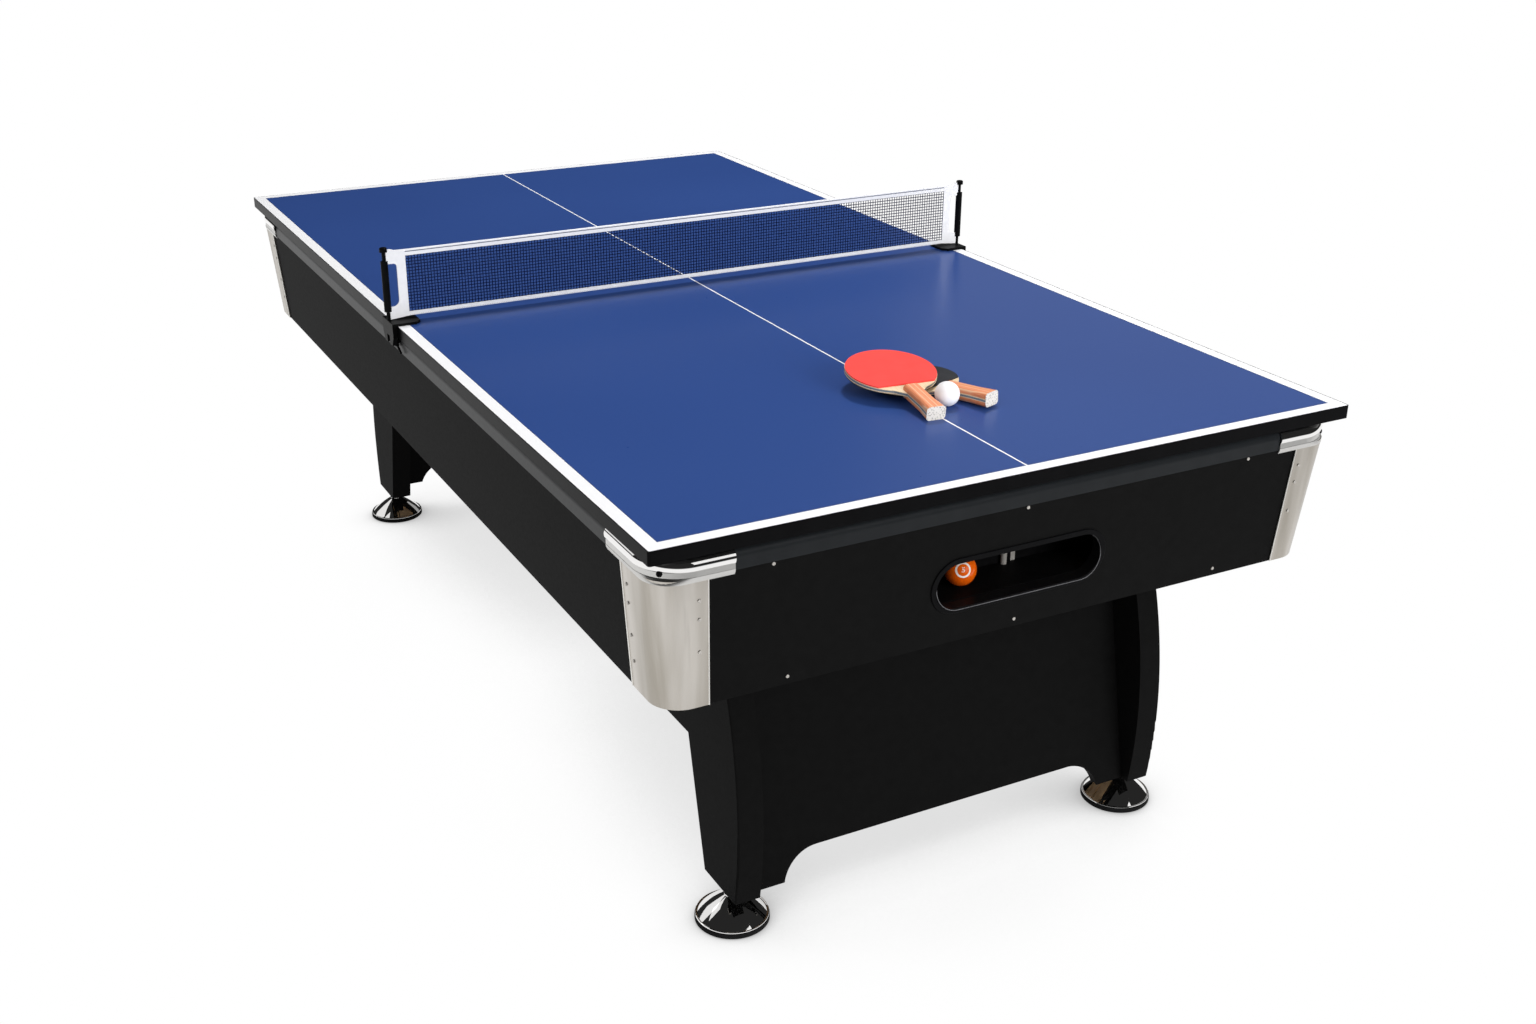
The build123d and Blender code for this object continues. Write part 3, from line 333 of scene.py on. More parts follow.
def zinc_steel():
    """Bright zinc on small steel parts."""
    finish = Finish("zinc_steel", (0.55, 0.55, 0.55, 1), 0.3, Metallic=0.6)
    patches = finish.noise(220, detail=4)
    finish.set("Base Color", finish.blend(patches, screen(174, 170, 164), screen(206, 202, 196)))
    finish.set("Roughness", finish.span(patches, 0.2, 0.8, 0.42, 0.6))
    finish.bump(finish.noise(1500), 0.02 * MM)
    return finish


def board_blue():
    """Blue table paint with low sheen and the faint texture of a roller; black below."""
    finish = Finish("blue_board", screen(50, 80, 146), 0.28, Specular_IOR_Level=0.1)
    low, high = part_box("tennis_board")
    clouds = finish.noise(2, detail=1)
    blue = finish.blend(clouds, screen(45, 73, 136), screen(50, 79, 143))
    upper = finish.reckon("GREATER_THAN", finish.along((0, 0, 1), (low + high) / 2), 0.0)
    finish.set("Base Color", finish.blend(upper, screen(18, 18, 19), blue))
    finish.set("Roughness", finish.span(finish.noise(90, detail=2), 0, 1, 0.27, 0.29))
    finish.bump(finish.noise(420, detail=2), 0.03 * MM)
    return finish


def line_paint(name, colour, shade):
    """Line paint with the same roller texture and slight unevenness."""
    finish = Finish(name, colour, 0.42, Specular_IOR_Level=0.3)
    finish.set("Base Color", finish.blend(finish.noise(60, detail=4), shade, colour))
    finish.bump(finish.noise(420, detail=2), 0.03 * MM)
    return finish


def woven(name, colour, shade, pitch, depth, roughness=0.85):
    """Woven tape: fine crossing ridges and soft colour change."""
    finish = Finish(name, colour, roughness, Specular_IOR_Level=0.2, Sheen_Weight=0.2)
    waves = []
    for direction in ("X", "Z"):
        ridges = finish.feed(
            finish.add("ShaderNodeTexWave", wave_type="BANDS", bands_direction=direction),
            Vector=finish.place(),
            Scale=1 / pitch / 20 * math.pi,
        )
        waves.append(ridges.outputs["Fac"])
    weave = finish.reckon("MULTIPLY", *waves)
    cloudy = finish.reckon("MULTIPLY", finish.noise(90, detail=4), 0.7)
    mixed = finish.reckon("ADD", finish.reckon("MULTIPLY", weave, 0.3), cloudy)
    finish.set("Base Color", finish.blend(mixed, shade, colour))
    finish.bump(weave, depth)
    return finish


def painted_crease_shade(finish, height):
    """Painted shade: a grey band along a tape at that height, in the crease below the cord in its edge."""
    cloth = finish.shader.inputs["Base Color"].links[0].from_socket
    away = finish.reckon("ABSOLUTE", finish.along((0, 0, 1), (0, 0, height)))
    shares = finish.span(away, 0.7 * MM, 1.2 * MM, 1, 0)
    # The grey here is painted shade in the crease, not the tape's own colour.
    finish.set("Base Color", finish.blend(shares, cloth, screen(112, 118, 134)))
    return finish


def thread():
    """Dark navy nylon thread."""
    finish = Finish("net_thread", screen(14, 24, 62), 0.6, Specular_IOR_Level=0.2)
    fibres = finish.noise(1500, stretch=(1, 1, 0.4))
    finish.set("Base Color", finish.blend(fibres, screen(8, 15, 44), screen(17, 30, 74)))
    finish.bump(fibres, 0.05 * MM)
    return finish


def felt():
    """Napped blue cloth of the bed and cushions."""
    finish = Finish("cloth", (0.03, 0.12, 0.42, 1), 0.95, Specular_IOR_Level=0.15, Sheen_Weight=0.35)
    nap = finish.noise(1300, detail=5, roughness=0.7)
    drift = finish.noise(7, detail=2)
    both = finish.reckon("ADD", finish.reckon("MULTIPLY", nap, 0.6), finish.reckon("MULTIPLY", drift, 0.4))
    finish.set("Base Color", finish.blend(finish.span(both, 0.3, 0.7, 0, 1), screen(38, 84, 160), screen(62, 112, 190)))
    finish.bump(nap, 0.12 * MM)
    return finish


def timber(name, dark, light, grain_stretch, scale=260, roughness=0.55):
    """Sawn or planed wood with its grain along one axis."""
    finish = Finish(name, light, roughness, Specular_IOR_Level=0.3)
    grain = finish.noise(scale, stretch=grain_stretch, detail=5, roughness=0.6, distortion=0.3)
    finish.set("Base Color", finish.blend(finish.span(grain, 0.3, 0.7, 0, 1), dark, light))
    finish.bump(grain, 0.05 * MM)
    return finish


def ball_resin():
    """Polished orange resin."""
    finish = Finish("orange_ball", screen(206, 88, 8), 0.12, Coat_Weight=0.15, Coat_Roughness=0.08)
    clouds = finish.noise(50, detail=3)
    finish.set("Base Color", finish.blend(clouds, screen(184, 70, 4), screen(198, 84, 6)))
    finish.set("Roughness", finish.span(finish.noise(160), 0.3, 0.7, 0.1, 0.2))
    return finish


def ball_white():
    """The matte white plastic of a table tennis ball."""
    finish = Finish("white_ball", screen(250, 250, 251), 0.5, Specular_IOR_Level=0.35)
    clouds = finish.noise(120, detail=4)
    finish.set("Base Color", finish.blend(clouds, screen(246, 246, 248), screen(253, 253, 254)))
    finish.bump(finish.noise(2200), 0.015 * MM)
    return finish


def paddle_frame(colour):
    """Middle and axes of a paddle: along its handle, across it and up from its face."""
    rubber = nodes[f"paddle_{colour}_rubber"].data
    largest = max(rubber.polygons, key=lambda face: face.area)
    up = largest.normal.copy()
    if up.z < 0:
        up = -up
    low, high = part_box(f"paddle_{colour}_rubber")
    middle = (low + high) / 2
    low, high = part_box(f"paddle_{colour}_grip")
    handle = (low + high) / 2 - middle
    handle -= up * handle.dot(up)
    handle.normalize()
    return middle, handle, up.cross(handle), up


def rubber(colour):
    """Both rubber sheets of a paddle: its own colour above, black below."""
    middle, _, _, up = paddle_frame(colour)
    finish = Finish(f"rubber_{colour}", screen(200, 60, 60), 0.5, Specular_IOR_Level=0.08)
    clouds = finish.noise(30, detail=4)
    shown = finish.blend(clouds, screen(46, 48, 52), screen(56, 58, 62))
    if colour == "red":
        above = finish.reckon("GREATER_THAN", finish.along(up, middle), 0.0)
        red = finish.blend(clouds, screen(246, 68, 62), screen(253, 80, 74))
        shown = finish.blend(above, shown, red)
    finish.set("Base Color", shown)
    finish.set("Roughness", finish.span(finish.noise(14, detail=4), 0.3, 0.7, 0.42, 0.6))
    finish.bump(finish.noise(1800), 0.02 * MM)
    return finish


def layered(finish, height, half_thickness, outer, core):
    """Wood with a blue-grey middle layer: colour by the height from the middle plane."""
    away = finish.reckon("ABSOLUTE", height)
    inside = finish.reckon("LESS_THAN", away, half_thickness)
    return finish.blend(inside, outer, core)


def end_grain(finish, wood, colour):
    """Pale porous end grain on the face that closes the handle, and the wood's colour elsewhere."""
    middle, handle, _, _ = paddle_frame(colour)
    grip = nodes[f"paddle_{colour}_grip"].data
    reach = max((vert.co - middle).dot(handle) for vert in grip.vertices)
    end = finish.span(finish.along(handle, middle), reach - 0.9 * MM, reach - 0.3 * MM, 0, 1)
    pores = finish.feed(
        finish.add("ShaderNodeTexVoronoi"), Vector=finish.place(), Scale=360
    ).outputs["Distance"]
    shares = finish.span(pores, 0.05, 0.5, 0, 1)
    return finish.blend(end, wood, finish.blend(shares, screen(128, 122, 114), screen(232, 227, 218)))


def blade_ply(colour):
    """Plywood blade with its grain along the handle and layers that show on the edge."""
    middle, handle, across, up = paddle_frame(colour)
    finish = Finish(f"ply_{colour}", screen(235, 205, 160), 0.5, Specular_IOR_Level=0.3)
    point = finish.add("ShaderNodeCombineXYZ")
    lengthwise = finish.reckon("MULTIPLY", finish.along(handle, middle), 0.06)
    finish.feed(point, X=lengthwise, Y=finish.along(across, middle), Z=finish.along(up, middle))
    grain = finish.feed(
        finish.add("ShaderNodeTexNoise"), Vector=point.outputs["Vector"], Scale=700, Detail=5
    ).outputs["Fac"]
    shares = finish.span(grain, 0.3, 0.7, 0, 1)
    wood = finish.blend(shares, screen(228, 196, 150), screen(250, 230, 196))
    core = finish.blend(shares, screen(98, 112, 122), screen(140, 152, 160))
    layers = layered(finish, finish.along(up, middle), 1.5 * MM, wood, core)
    finish.set("Base Color", end_grain(finish, layers, colour))
    finish.bump(grain, 0.05 * MM)
    return finish


def grip_wood(colour):
    """Oiled orange-brown grip scales with fine lengthwise stripes and pale end grain."""
    middle, handle, across, up = paddle_frame(colour)
    finish = Finish(f"grip_{colour}", screen(220, 140, 96), 0.48, Specular_IOR_Level=0.35)
    point = finish.add("ShaderNodeCombineXYZ")
    lengthwise = finish.reckon("MULTIPLY", finish.along(handle, middle), 0.03)
    finish.feed(point, X=lengthwise, Y=finish.along(across, middle), Z=finish.along(up, middle))
    fine = finish.feed(
        finish.add("ShaderNodeTexNoise"), Vector=point.outputs["Vector"], Scale=900, Detail=4
    ).outputs["Fac"]
    stripes = finish.feed(
        finish.add("ShaderNodeTexWave", wave_type="BANDS", bands_direction="Y"),
        Vector=point.outputs["Vector"],
        Scale=36.0,
        Distortion=1.2,
        Detail=2.0,
    ).outputs["Fac"]
    wood = finish.blend(finish.span(fine, 0.3, 0.7, 0, 1), screen(220, 124, 78), screen(248, 160, 112))
    pale = finish.span(stripes, 0.86, 0.98, 0, 0.6)
    wood = finish.blend(pale, wood, screen(250, 214, 176))
    finish.set("Base Color", end_grain(finish, wood, colour))
    finish.bump(fine, 0.06 * MM)
    return finish


def dress(finish, slot, *names):
    """Gives CAD nodes their finish."""
    for name in names:
        node = nodes[name]
        node.data.materials.clear()
        node.data.materials.append(finish.material)


def smooth(mesh, angle=35):
    """Smooth shading with sharp edges kept above that angle, in degrees."""
    for face in mesh.polygons:
        face.use_smooth = True
    mesh.set_sharp_from_angle(angle=math.radians(angle))


def piece(name, mesh, finish, body):
    """An object with that mesh and finish, riding on a body."""
    made = bpy.data.objects.new(name, mesh)
    bpy.context.scene.collection.objects.link(made)
    mesh.materials.clear()
    mesh.materials.append(finish.material)
    smooth(mesh)
    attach(made, body)
    return made


def from_bmesh(name, shape):
    """The mesh of a bmesh, which is freed."""
    bmesh.ops.recalc_face_normals(shape, faces=shape.faces)
    mesh = bpy.data.meshes.new(name)
    shape.to_mesh(mesh)
    shape.free()
    return mesh


def plate_mesh(name, loops, half_thickness, edge, place):
    """A flat plate with those closed outlines, holes among them, set in place by a matrix."""
    curve = bpy.data.curves.new(name, "CURVE")
    curve.dimensions = "2D"
    curve.fill_mode = "BOTH"
    curve.extrude = half_thickness - edge
    curve.bevel_depth = edge
    curve.bevel_resolution = 1
    curve.offset = -edge
    for loop in loops:
        spline = curve.splines.new("POLY")
        spline.points.add(len(loop) - 1)
        for point, (x, y) in zip(spline.points, loop):
            point.co = (x, y, 0, 1)
        spline.use_cyclic_u = True
    carrier = bpy.data.objects.new(name, curve)
    bpy.context.scene.collection.objects.link(carrier)
    bpy.context.view_layer.update()
    mesh = bpy.data.meshes.new_from_object(carrier.evaluated_get(bpy.context.evaluated_depsgraph_get()))
    bpy.data.objects.remove(carrier)
    mesh.transform(place)
    return mesh


def rectangle(half_x, half_y, radius=0.0, steps=4):
    """The outline of a rectangle with rounded corners."""
    if not radius:
        return [(half_x, half_y), (-half_x, half_y), (-half_x, -half_y), (half_x, -half_y)]
    loop = []
    for corner in range(4):
        turn = corner * math.pi / 2
        side_x, side_y = ((1, 1), (-1, 1), (-1, -1), (1, -1))[corner]
        for step in range(steps + 1):
            angle = turn + step / steps * math.pi / 2
            loop.append(
                (
                    side_x * (half_x - radius) + radius * math.cos(angle),
                    side_y * (half_y - radius) + radius * math.sin(angle),
                )
            )
    return loop


def circle(x, y, radius, steps=72):
    """The outline of a circle."""
    angles = (step / steps * 2 * math.pi for step in range(steps))
    return [(x + radius * math.cos(angle), y + radius * math.sin(angle)) for angle in angles]


def tube(shape, points, radius, sides=4):
    """A thin tube through points that run mostly along X or Z."""
    rings = []
    for index, point in enumerate(points):
        ahead = points[min(index + 1, len(points) - 1)] - points[max(index - 1, 0)]
        out = ahead.cross(Vector((0, 1, 0))).normalized()
        side = ahead.cross(out).normalized()
        ring = []
        for step in range(sides):
            angle = step / sides * 2 * math.pi
            ring.append(shape.verts.new(point + (out * math.cos(angle) + side * math.sin(angle)) * radius))
        rings.append(ring)
    for first, second in zip(rings, rings[1:]):
        for step in range(sides):
            after = (step + 1) % sides
            shape.faces.new((first[step], first[after], second[after], second[step]))
    shape.faces.new(rings[0])
    shape.faces.new(reversed(rings[-1]))


def knot(shape, centre, radius):
    """The small lump where two threads cross."""
    across = Vector((radius, 0, 0))
    tall = Vector((0, 0, radius))
    deep = Vector((0, radius * 0.9, 0))
    rim = [shape.verts.new(centre + part) for part in (across, tall, -across, -tall)]
    front = shape.verts.new(centre - deep)
    back = shape.verts.new(centre + deep)
    for step in range(4):
        after = (step + 1) % 4
        shape.faces.new((rim[step], rim[after], front))
        shape.faces.new((rim[after], rim[step], back))


def net():
    """The net: crossing threads that pass over and under, with a knot at each crossing."""
    low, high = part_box("net_mesh")
    columns = round((high.x - low.x) / MESH_PITCH)
    rows = round((high.z - low.z) / MESH_PITCH)
    middle_y = (low.y + high.y) / 2
    sway = THREAD_RADIUS * 0.5
    shape = bmesh.new()

    def crossing(column, row, side):
        return Vector(
            (
                low.x + (high.x - low.x) * column / columns,
                middle_y + side * sway * (1 if (column + row) % 2 else -1),
                low.z + (high.z - low.z) * row / rows,
            )
        )

    for column in range(columns + 1):
        tube(shape, [crossing(column, row, 1) for row in range(rows + 1)], THREAD_RADIUS)
    for row in range(rows + 1):
        tube(shape, [crossing(column, row, -1) for column in range(columns + 1)], THREAD_RADIUS)
    for column in range(columns + 1):
        for row in range(rows + 1):
            centre = crossing(column, row, 0)
            knot(shape, Vector((centre.x, middle_y, centre.z)), KNOT_RADIUS)
    made = piece("net_threads", from_bmesh("net_threads", shape), thread(), "tennis_top")
    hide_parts("net_mesh")
    return made, (high.x - low.x, high.z - low.z)


def tape_profile(height, cord_radius, flat_half):
    """Half sections of a tape, from its lower edge up: (height above the edge, half thickness)."""
    crease = height - 2.1 * cord_radius
    return [
        (0.0, flat_half * 0.55),
        (0.4 * MM, flat_half * 0.95),
        (crease * 0.5, flat_half),
        (crease - 0.5 * MM, flat_half * 0.96),
        (crease, flat_half * 0.4),
        (crease + 0.5 * MM, cord_radius * 0.8),
        (height - cord_radius, cord_radius),
        (height - cord_radius * 0.45, cord_radius * 0.88),
        (height - cord_radius * 0.1, cord_radius * 0.45),
    ]


def tape(name, x_from, x_to, z_low, height, cord_radius, flat_half, finish):
    """A folded tape along X with a cord in its upper edge."""
    half = tape_profile(height, cord_radius, flat_half)
    loop = [(-y, z) for z, y in half] + [(y, z) for z, y in reversed(half)]
    steps = 160
    shape = bmesh.new()
    rings = []
    for step in range(steps + 1):
        x = x_from + (x_to - x_from) * step / steps
        pucker = 1 + 0.05 * math.sin(step * 2.1) * math.sin(step * 0.73)
        rings.append([shape.verts.new((x, y * pucker, z_low + z)) for y, z in loop])
    for first, second in zip(rings, rings[1:]):
        for index in range(len(loop)):
            after = (index + 1) % len(loop)
            shape.faces.new((first[index], first[after], second[after], second[index]))
    shape.faces.new(rings[0])
    shape.faces.new(reversed(rings[-1]))
    made = piece(name, from_bmesh(name, shape), finish, "tennis_top")
    return made


def stitches(name, runs, y_out, finish):
    """Rows of stitches on both faces; each run is a start and an end point in the XZ plane."""
    shape = bmesh.new()
    for (x_from, z_from), (x_to, z_to) in runs:
        start = Vector((x_from, 0, z_from))
        run = Vector((x_to, 0, z_to)) - start
        ahead = run.normalized()
        out = ahead.cross(Vector((0, 1, 0)))
        for number in range(int(run.length / STITCH_PITCH)):
            middle = start + ahead * (number + 0.5) * STITCH_PITCH
            for face in (-1, 1):
                stitch(shape, middle, ahead, out, face * y_out)
    return piece(name, from_bmesh(name, shape), finish, "tennis_top")


def stitch(shape, middle, ahead, out, y):
    """One stitch: a low six-sided pyramid roof that lies on the tape."""
    half = STITCH_LENGTH / 2
    width = 0.28 * MM
    rise = math.copysign(0.16 * MM, y)
    floor = [
        middle + ahead * along * half + out * side * width + Vector((0, y, 0))
        for along, side in ((-1, 0), (-0.5, -1), (0.5, -1), (1, 0), (0.5, 1), (-0.5, 1))
    ]
    ridge = [middle + ahead * share * half + Vector((0, y + rise, 0)) for share in (-0.5, 0.5)]
    base = [shape.verts.new(point) for point in floor]
    first, second = (shape.verts.new(point) for point in ridge)
    for corners in (
        (base[0], base[1], first),
        (base[1], base[2], second, first),
        (base[2], base[3], second),
        (base[3], base[4], second),
        (base[4], base[5], first, second),
        (base[5], base[0], first),
        tuple(reversed(base)),
    ):
        shape.faces.new(corners)


def net_border():
    """The white tapes, end pieces and their stitches."""
    low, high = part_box("net_mesh")
    outer_low, outer_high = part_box("net_border")
    finish = woven("white_tape", screen(252, 252, 253), screen(230, 230, 233), 0.5 * MM, 0.05 * MM)
    # The stitches are grey, partly as their thread and partly as painted shade along the crease of the top tape and
    # down the end pieces.
    seam = woven("tape_stitches_painted_shade", screen(168, 170, 178), screen(136, 138, 148), 0.4 * MM, 0.04 * MM)
    bottom_low = low.z - BOTTOM_TAPE
    top_high = high.z + TOP_TAPE
    upper = woven("top_tape", screen(252, 252, 253), screen(230, 230, 233), 0.5 * MM, 0.05 * MM)
    # The top tape gets a grey band of painted shade along its crease.
    painted_crease_shade(upper, top_high - 2.1 * TOP_CORD)
    top = tape("net_top_tape", low.x, high.x, high.z, TOP_TAPE, TOP_CORD, 1.05 * MM, upper)
    bottom = tape("net_bottom_tape", low.x, high.x, bottom_low, BOTTOM_TAPE, 1.3 * MM, 1.05 * MM, finish)
    ends = [
        end_piece(side, high.x, outer_high.x, bottom_low, top_high, outer_high.z, finish)
        for side in (-1, 1)
    ]
    inner = high.x
    runs = [
        ((low.x, top_high - 2.5 * TOP_CORD), (inner, top_high - 2.5 * TOP_CORD)),
        ((low.x, bottom_low + 1.6 * MM), (inner, bottom_low + 1.6 * MM)),
    ]
    for side in (-1, 1):
        for inset in (3.2 * MM, 14.5 * MM):
            x = side * (inner + inset)
            runs.append(((x, bottom_low + 22 * MM), (x, top_high - 26 * MM)))
    sewn = stitches("net_stitches", runs, 1.08 * MM, seam)
    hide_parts("net_border")
    return [top, bottom, *ends, sewn]


def end_piece(side, inner, outer, low, top, tab_top, finish):
    """One white end piece: a spine with two tabs that reach for the post."""
    spine = inner + 17 * MM
    low_tab = low + 20 * MM
    top_tab = top - 24 * MM
    outline = [
        (inner, low),
        (outer, low - 3.4 * MM),
        (outer, low_tab - 1 * MM),
        (outer - 1 * MM, low_tab),
        (spine + 12 * MM, low_tab),
    ]
    outline += arc_points((spine + 12 * MM, low_tab + 12 * MM), 12 * MM, -90, -180)
    outline += arc_points((spine + 6 * MM, top_tab - 6 * MM), 6 * MM, 180, 90)
    outline += [
        (outer - 1 * MM, top_tab),
        (outer, top_tab + 1 * MM),
        (outer, tab_top - 2 * MM),
        (outer - 2 * MM, tab_top),
        (outer - 9 * MM, tab_top - 0.4 * MM),
        (spine + 3 * MM, top + 0.3 * MM),
        (spine - 3 * MM, top),
        (inner, top),
    ]
    place = Matrix.Rotation(math.pi / 2, 4, "X")
    mesh = plate_mesh("net_end", [outline], 1.3 * MM, 0.4 * MM, place)
    if side < 0:
        mesh.transform(Matrix.Scale(-1, 4, (1, 0, 0)))
        mesh.flip_normals()
    word = "left" if side < 0 else "right"
    return piece(f"net_end_{word}", mesh, finish, "tennis_top")


def arc_points(centre, radius, start, stop, steps=8):
    """Points on an arc between two angles in degrees."""
    angles = (math.radians(start + (stop - start) * step / steps) for step in range(steps + 1))
    return [(centre[0] + radius * math.cos(a), centre[1] + radius * math.sin(a)) for a in angles]


def cap_path(steps=24):
    """The outline of one cap from its rail joint on the end to the one on the side."""
    middle_x = CAP_OUTER_X - CAP_RADIUS
    middle_y = CAP_OUTER_Y - CAP_RADIUS
    points = [(CAP_START_X, CAP_OUTER_Y, 0.0, 1.0), (middle_x, CAP_OUTER_Y, 0.0, 1.0)]
    for step in range(1, steps):
        angle = math.pi / 2 * (1 - step / steps)
        out_x = math.cos(angle)
        out_y = math.sin(angle)
        points.append((middle_x + CAP_RADIUS * out_x, middle_y + CAP_RADIUS * out_y, out_x, out_y))
    points.append((CAP_OUTER_X, middle_y, 1.0, 0.0))
    points.append((CAP_OUTER_X, CAP_START_Y, 1.0, 0.0))
    return points


def mirrored(shape, side, end):
    """Moves what a bmesh holds into another corner of the table."""
    bmesh.ops.transform(shape, matrix=Matrix.Diagonal((side, end, 1, 1)), verts=shape.verts)
    return shape


def cap_beads(finish):
    """The rounded roll of each chrome cap above its flat lower lip."""
    profile = [(-1.2, 724.6)]
    profile += [(x, z) for x, z in arc_points((-9.6, 736.2), 12.1, -66, 78, 22)]
    profile.append((-12.0, 745.0))
    for side, end in CORNERS:
        shape = bmesh.new()
        rings = []
        for x, y, out_x, out_y in cap_path():
            ring = [(x + out_x * out * MM, y + out_y * out * MM, z * MM) for out, z in profile]
            rings.append([shape.verts.new(point) for point in ring])
        for first, second in zip(rings, rings[1:]):
            for index in range(len(profile)):
                after = (index + 1) % len(profile)
                shape.faces.new((first[index], first[after], second[after], second[index]))
        shape.faces.new(rings[0])
        shape.faces.new(reversed(rings[-1]))
        name = f"cap_roll_{CORNERS[side, end]}"
        piece(name, from_bmesh(name, mirrored(shape, side, end)), finish, "table")


def cap_lips(finish):
    """The flared lower lip of each cap, from its skirt in to the face of the corner plate."""
    plate_middle = Vector((CAP_FOOT_X - CAP_FOOT_RADIUS, CAP_FOOT_Y - CAP_FOOT_RADIUS))
    for side, end in CORNERS:
        shape = bmesh.new()
        rings = []
        for x, y, out_x, out_y in cap_path():
            foot = plate_middle + Vector((out_x, out_y)) * CAP_FOOT_RADIUS
            straight_x = x if out_x == 0 and x < plate_middle.x else foot.x
            straight_y = y if out_y == 0 and y < plate_middle.y else foot.y
            low = Vector((straight_x, straight_y, CAP_FOOT_HEIGHT))
            high = Vector((x + out_x * 0.4 * MM, y + out_y * 0.4 * MM, CAP_SKIRT_HEIGHT))
            inward = Vector((-out_x, -out_y, 0)) * 1.5 * MM
            bulge = (low + high) / 2 - inward * 0.5
            ring = [low + inward, low, bulge, high, high + inward]
            rings.append([shape.verts.new(point) for point in ring])
        for first, second in zip(rings, rings[1:]):
            for index in range(5):
                after = (index + 1) % 5
                shape.faces.new((first[index], first[after], second[after], second[index]))
        shape.faces.new(rings[0])
        shape.faces.new(reversed(rings[-1]))
        name = f"cap_lip_{CORNERS[side, end]}"
        piece(name, from_bmesh(name, mirrored(shape, side, end)), finish, "table")


def cap_screws(finish):
    """A black raised screw with a cross slot in the corner of each cap."""
    lean = Matrix.Rotation(math.radians(45), 4, "Z") @ Matrix.Rotation(math.pi / 2, 4, "Y")
    reach = CAP_RADIUS + 0.4 * MM
    middle = Vector((CAP_OUTER_X - CAP_RADIUS, CAP_OUTER_Y - CAP_RADIUS, CAP_SCREW_HEIGHT))
    place = Matrix.Translation(middle) @ lean @ Matrix.Translation((0, 0, reach))
    for side, end in CORNERS:
        shape = bmesh.new()
        rings = []
        for radius, height in ((4.2, -1.4), (4.4, 0.2), (4.1, 1.2), (3.2, 2.1), (1.9, 2.6)):
            rings.append(
                [shape.verts.new((x, y, height * MM)) for x, y in circle(0, 0, radius * MM, 24)]
            )
        for first, second in zip(rings, rings[1:]):
            for step in range(24):
                after = (step + 1) % 24
                shape.faces.new((first[step], first[after], second[after], second[step]))
        slot = [
            shape.verts.new((x, y, 1.2 * MM))
            for x, y in (
                point
                for turn in range(4)
                for point in turned([(0.35, 1.3), (-0.35, 1.3), (-0.35, 0.35)], turn * 90)
            )
        ]
        rim = rings[-1]
        for step in range(24):
            after = (step + 1) % 24
            inner = slot[(step // 2) % 12]
            following = slot[(after // 2) % 12]
            corners = (rim[step], rim[after], following, inner)
            shape.faces.new(corners if inner != following else corners[:3])
        shape.faces.new(slot)
        shape.faces.new(reversed(rings[0]))
        bmesh.ops.transform(shape, matrix=place, verts=shape.verts)
        name = f"cap_screw_{CORNERS[side, end]}"
        piece(name, from_bmesh(name, mirrored(shape, side, end)), finish, "table")


def turned(points, angle):
    """Points in millimetres turned about the origin by an angle in degrees, in metres."""
    cos = math.cos(math.radians(angle))
    sin = math.sin(math.radians(angle))
    return [((x * cos - y * sin) * MM, (x * sin + y * cos) * MM) for x, y in points]


def foot_rings(finish):
    """The bright rolled rim of each foot's cone and the ring under its collar."""
    for side, end in CORNERS:
        word = CORNERS[side, end]
        low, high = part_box(f"foot_disc_{word}")
        middle = (low + high) / 2
        shape = bmesh.new()
        for radius, height, thickness in FOOT_RINGS:
            ring(shape, Vector((middle.x, middle.y, height)), radius, thickness)
        name = f"foot_ring_{word}"
        piece(name, from_bmesh(name, shape), finish, f"foot_disc_{word}")


def ring(shape, centre, radius, thickness, steps=96, sides=10):
    """A level round ring of round section."""
    rings = []
    for step in range(steps):
        turn = step / steps * 2 * math.pi
        out = Vector((math.cos(turn), math.sin(turn), 0))
        section = []
        for index in range(sides):
            angle = index / sides * 2 * math.pi
            rise = Vector((0, 0, math.sin(angle) * thickness))
            section.append(shape.verts.new(centre + out * (radius + math.cos(angle) * thickness) + rise))
        rings.append(section)
    for first, second in zip(rings, rings[1:] + rings[:1]):
        for index in range(sides):
            after = (index + 1) % sides
            shape.faces.new((first[index], first[after], second[after], second[index]))


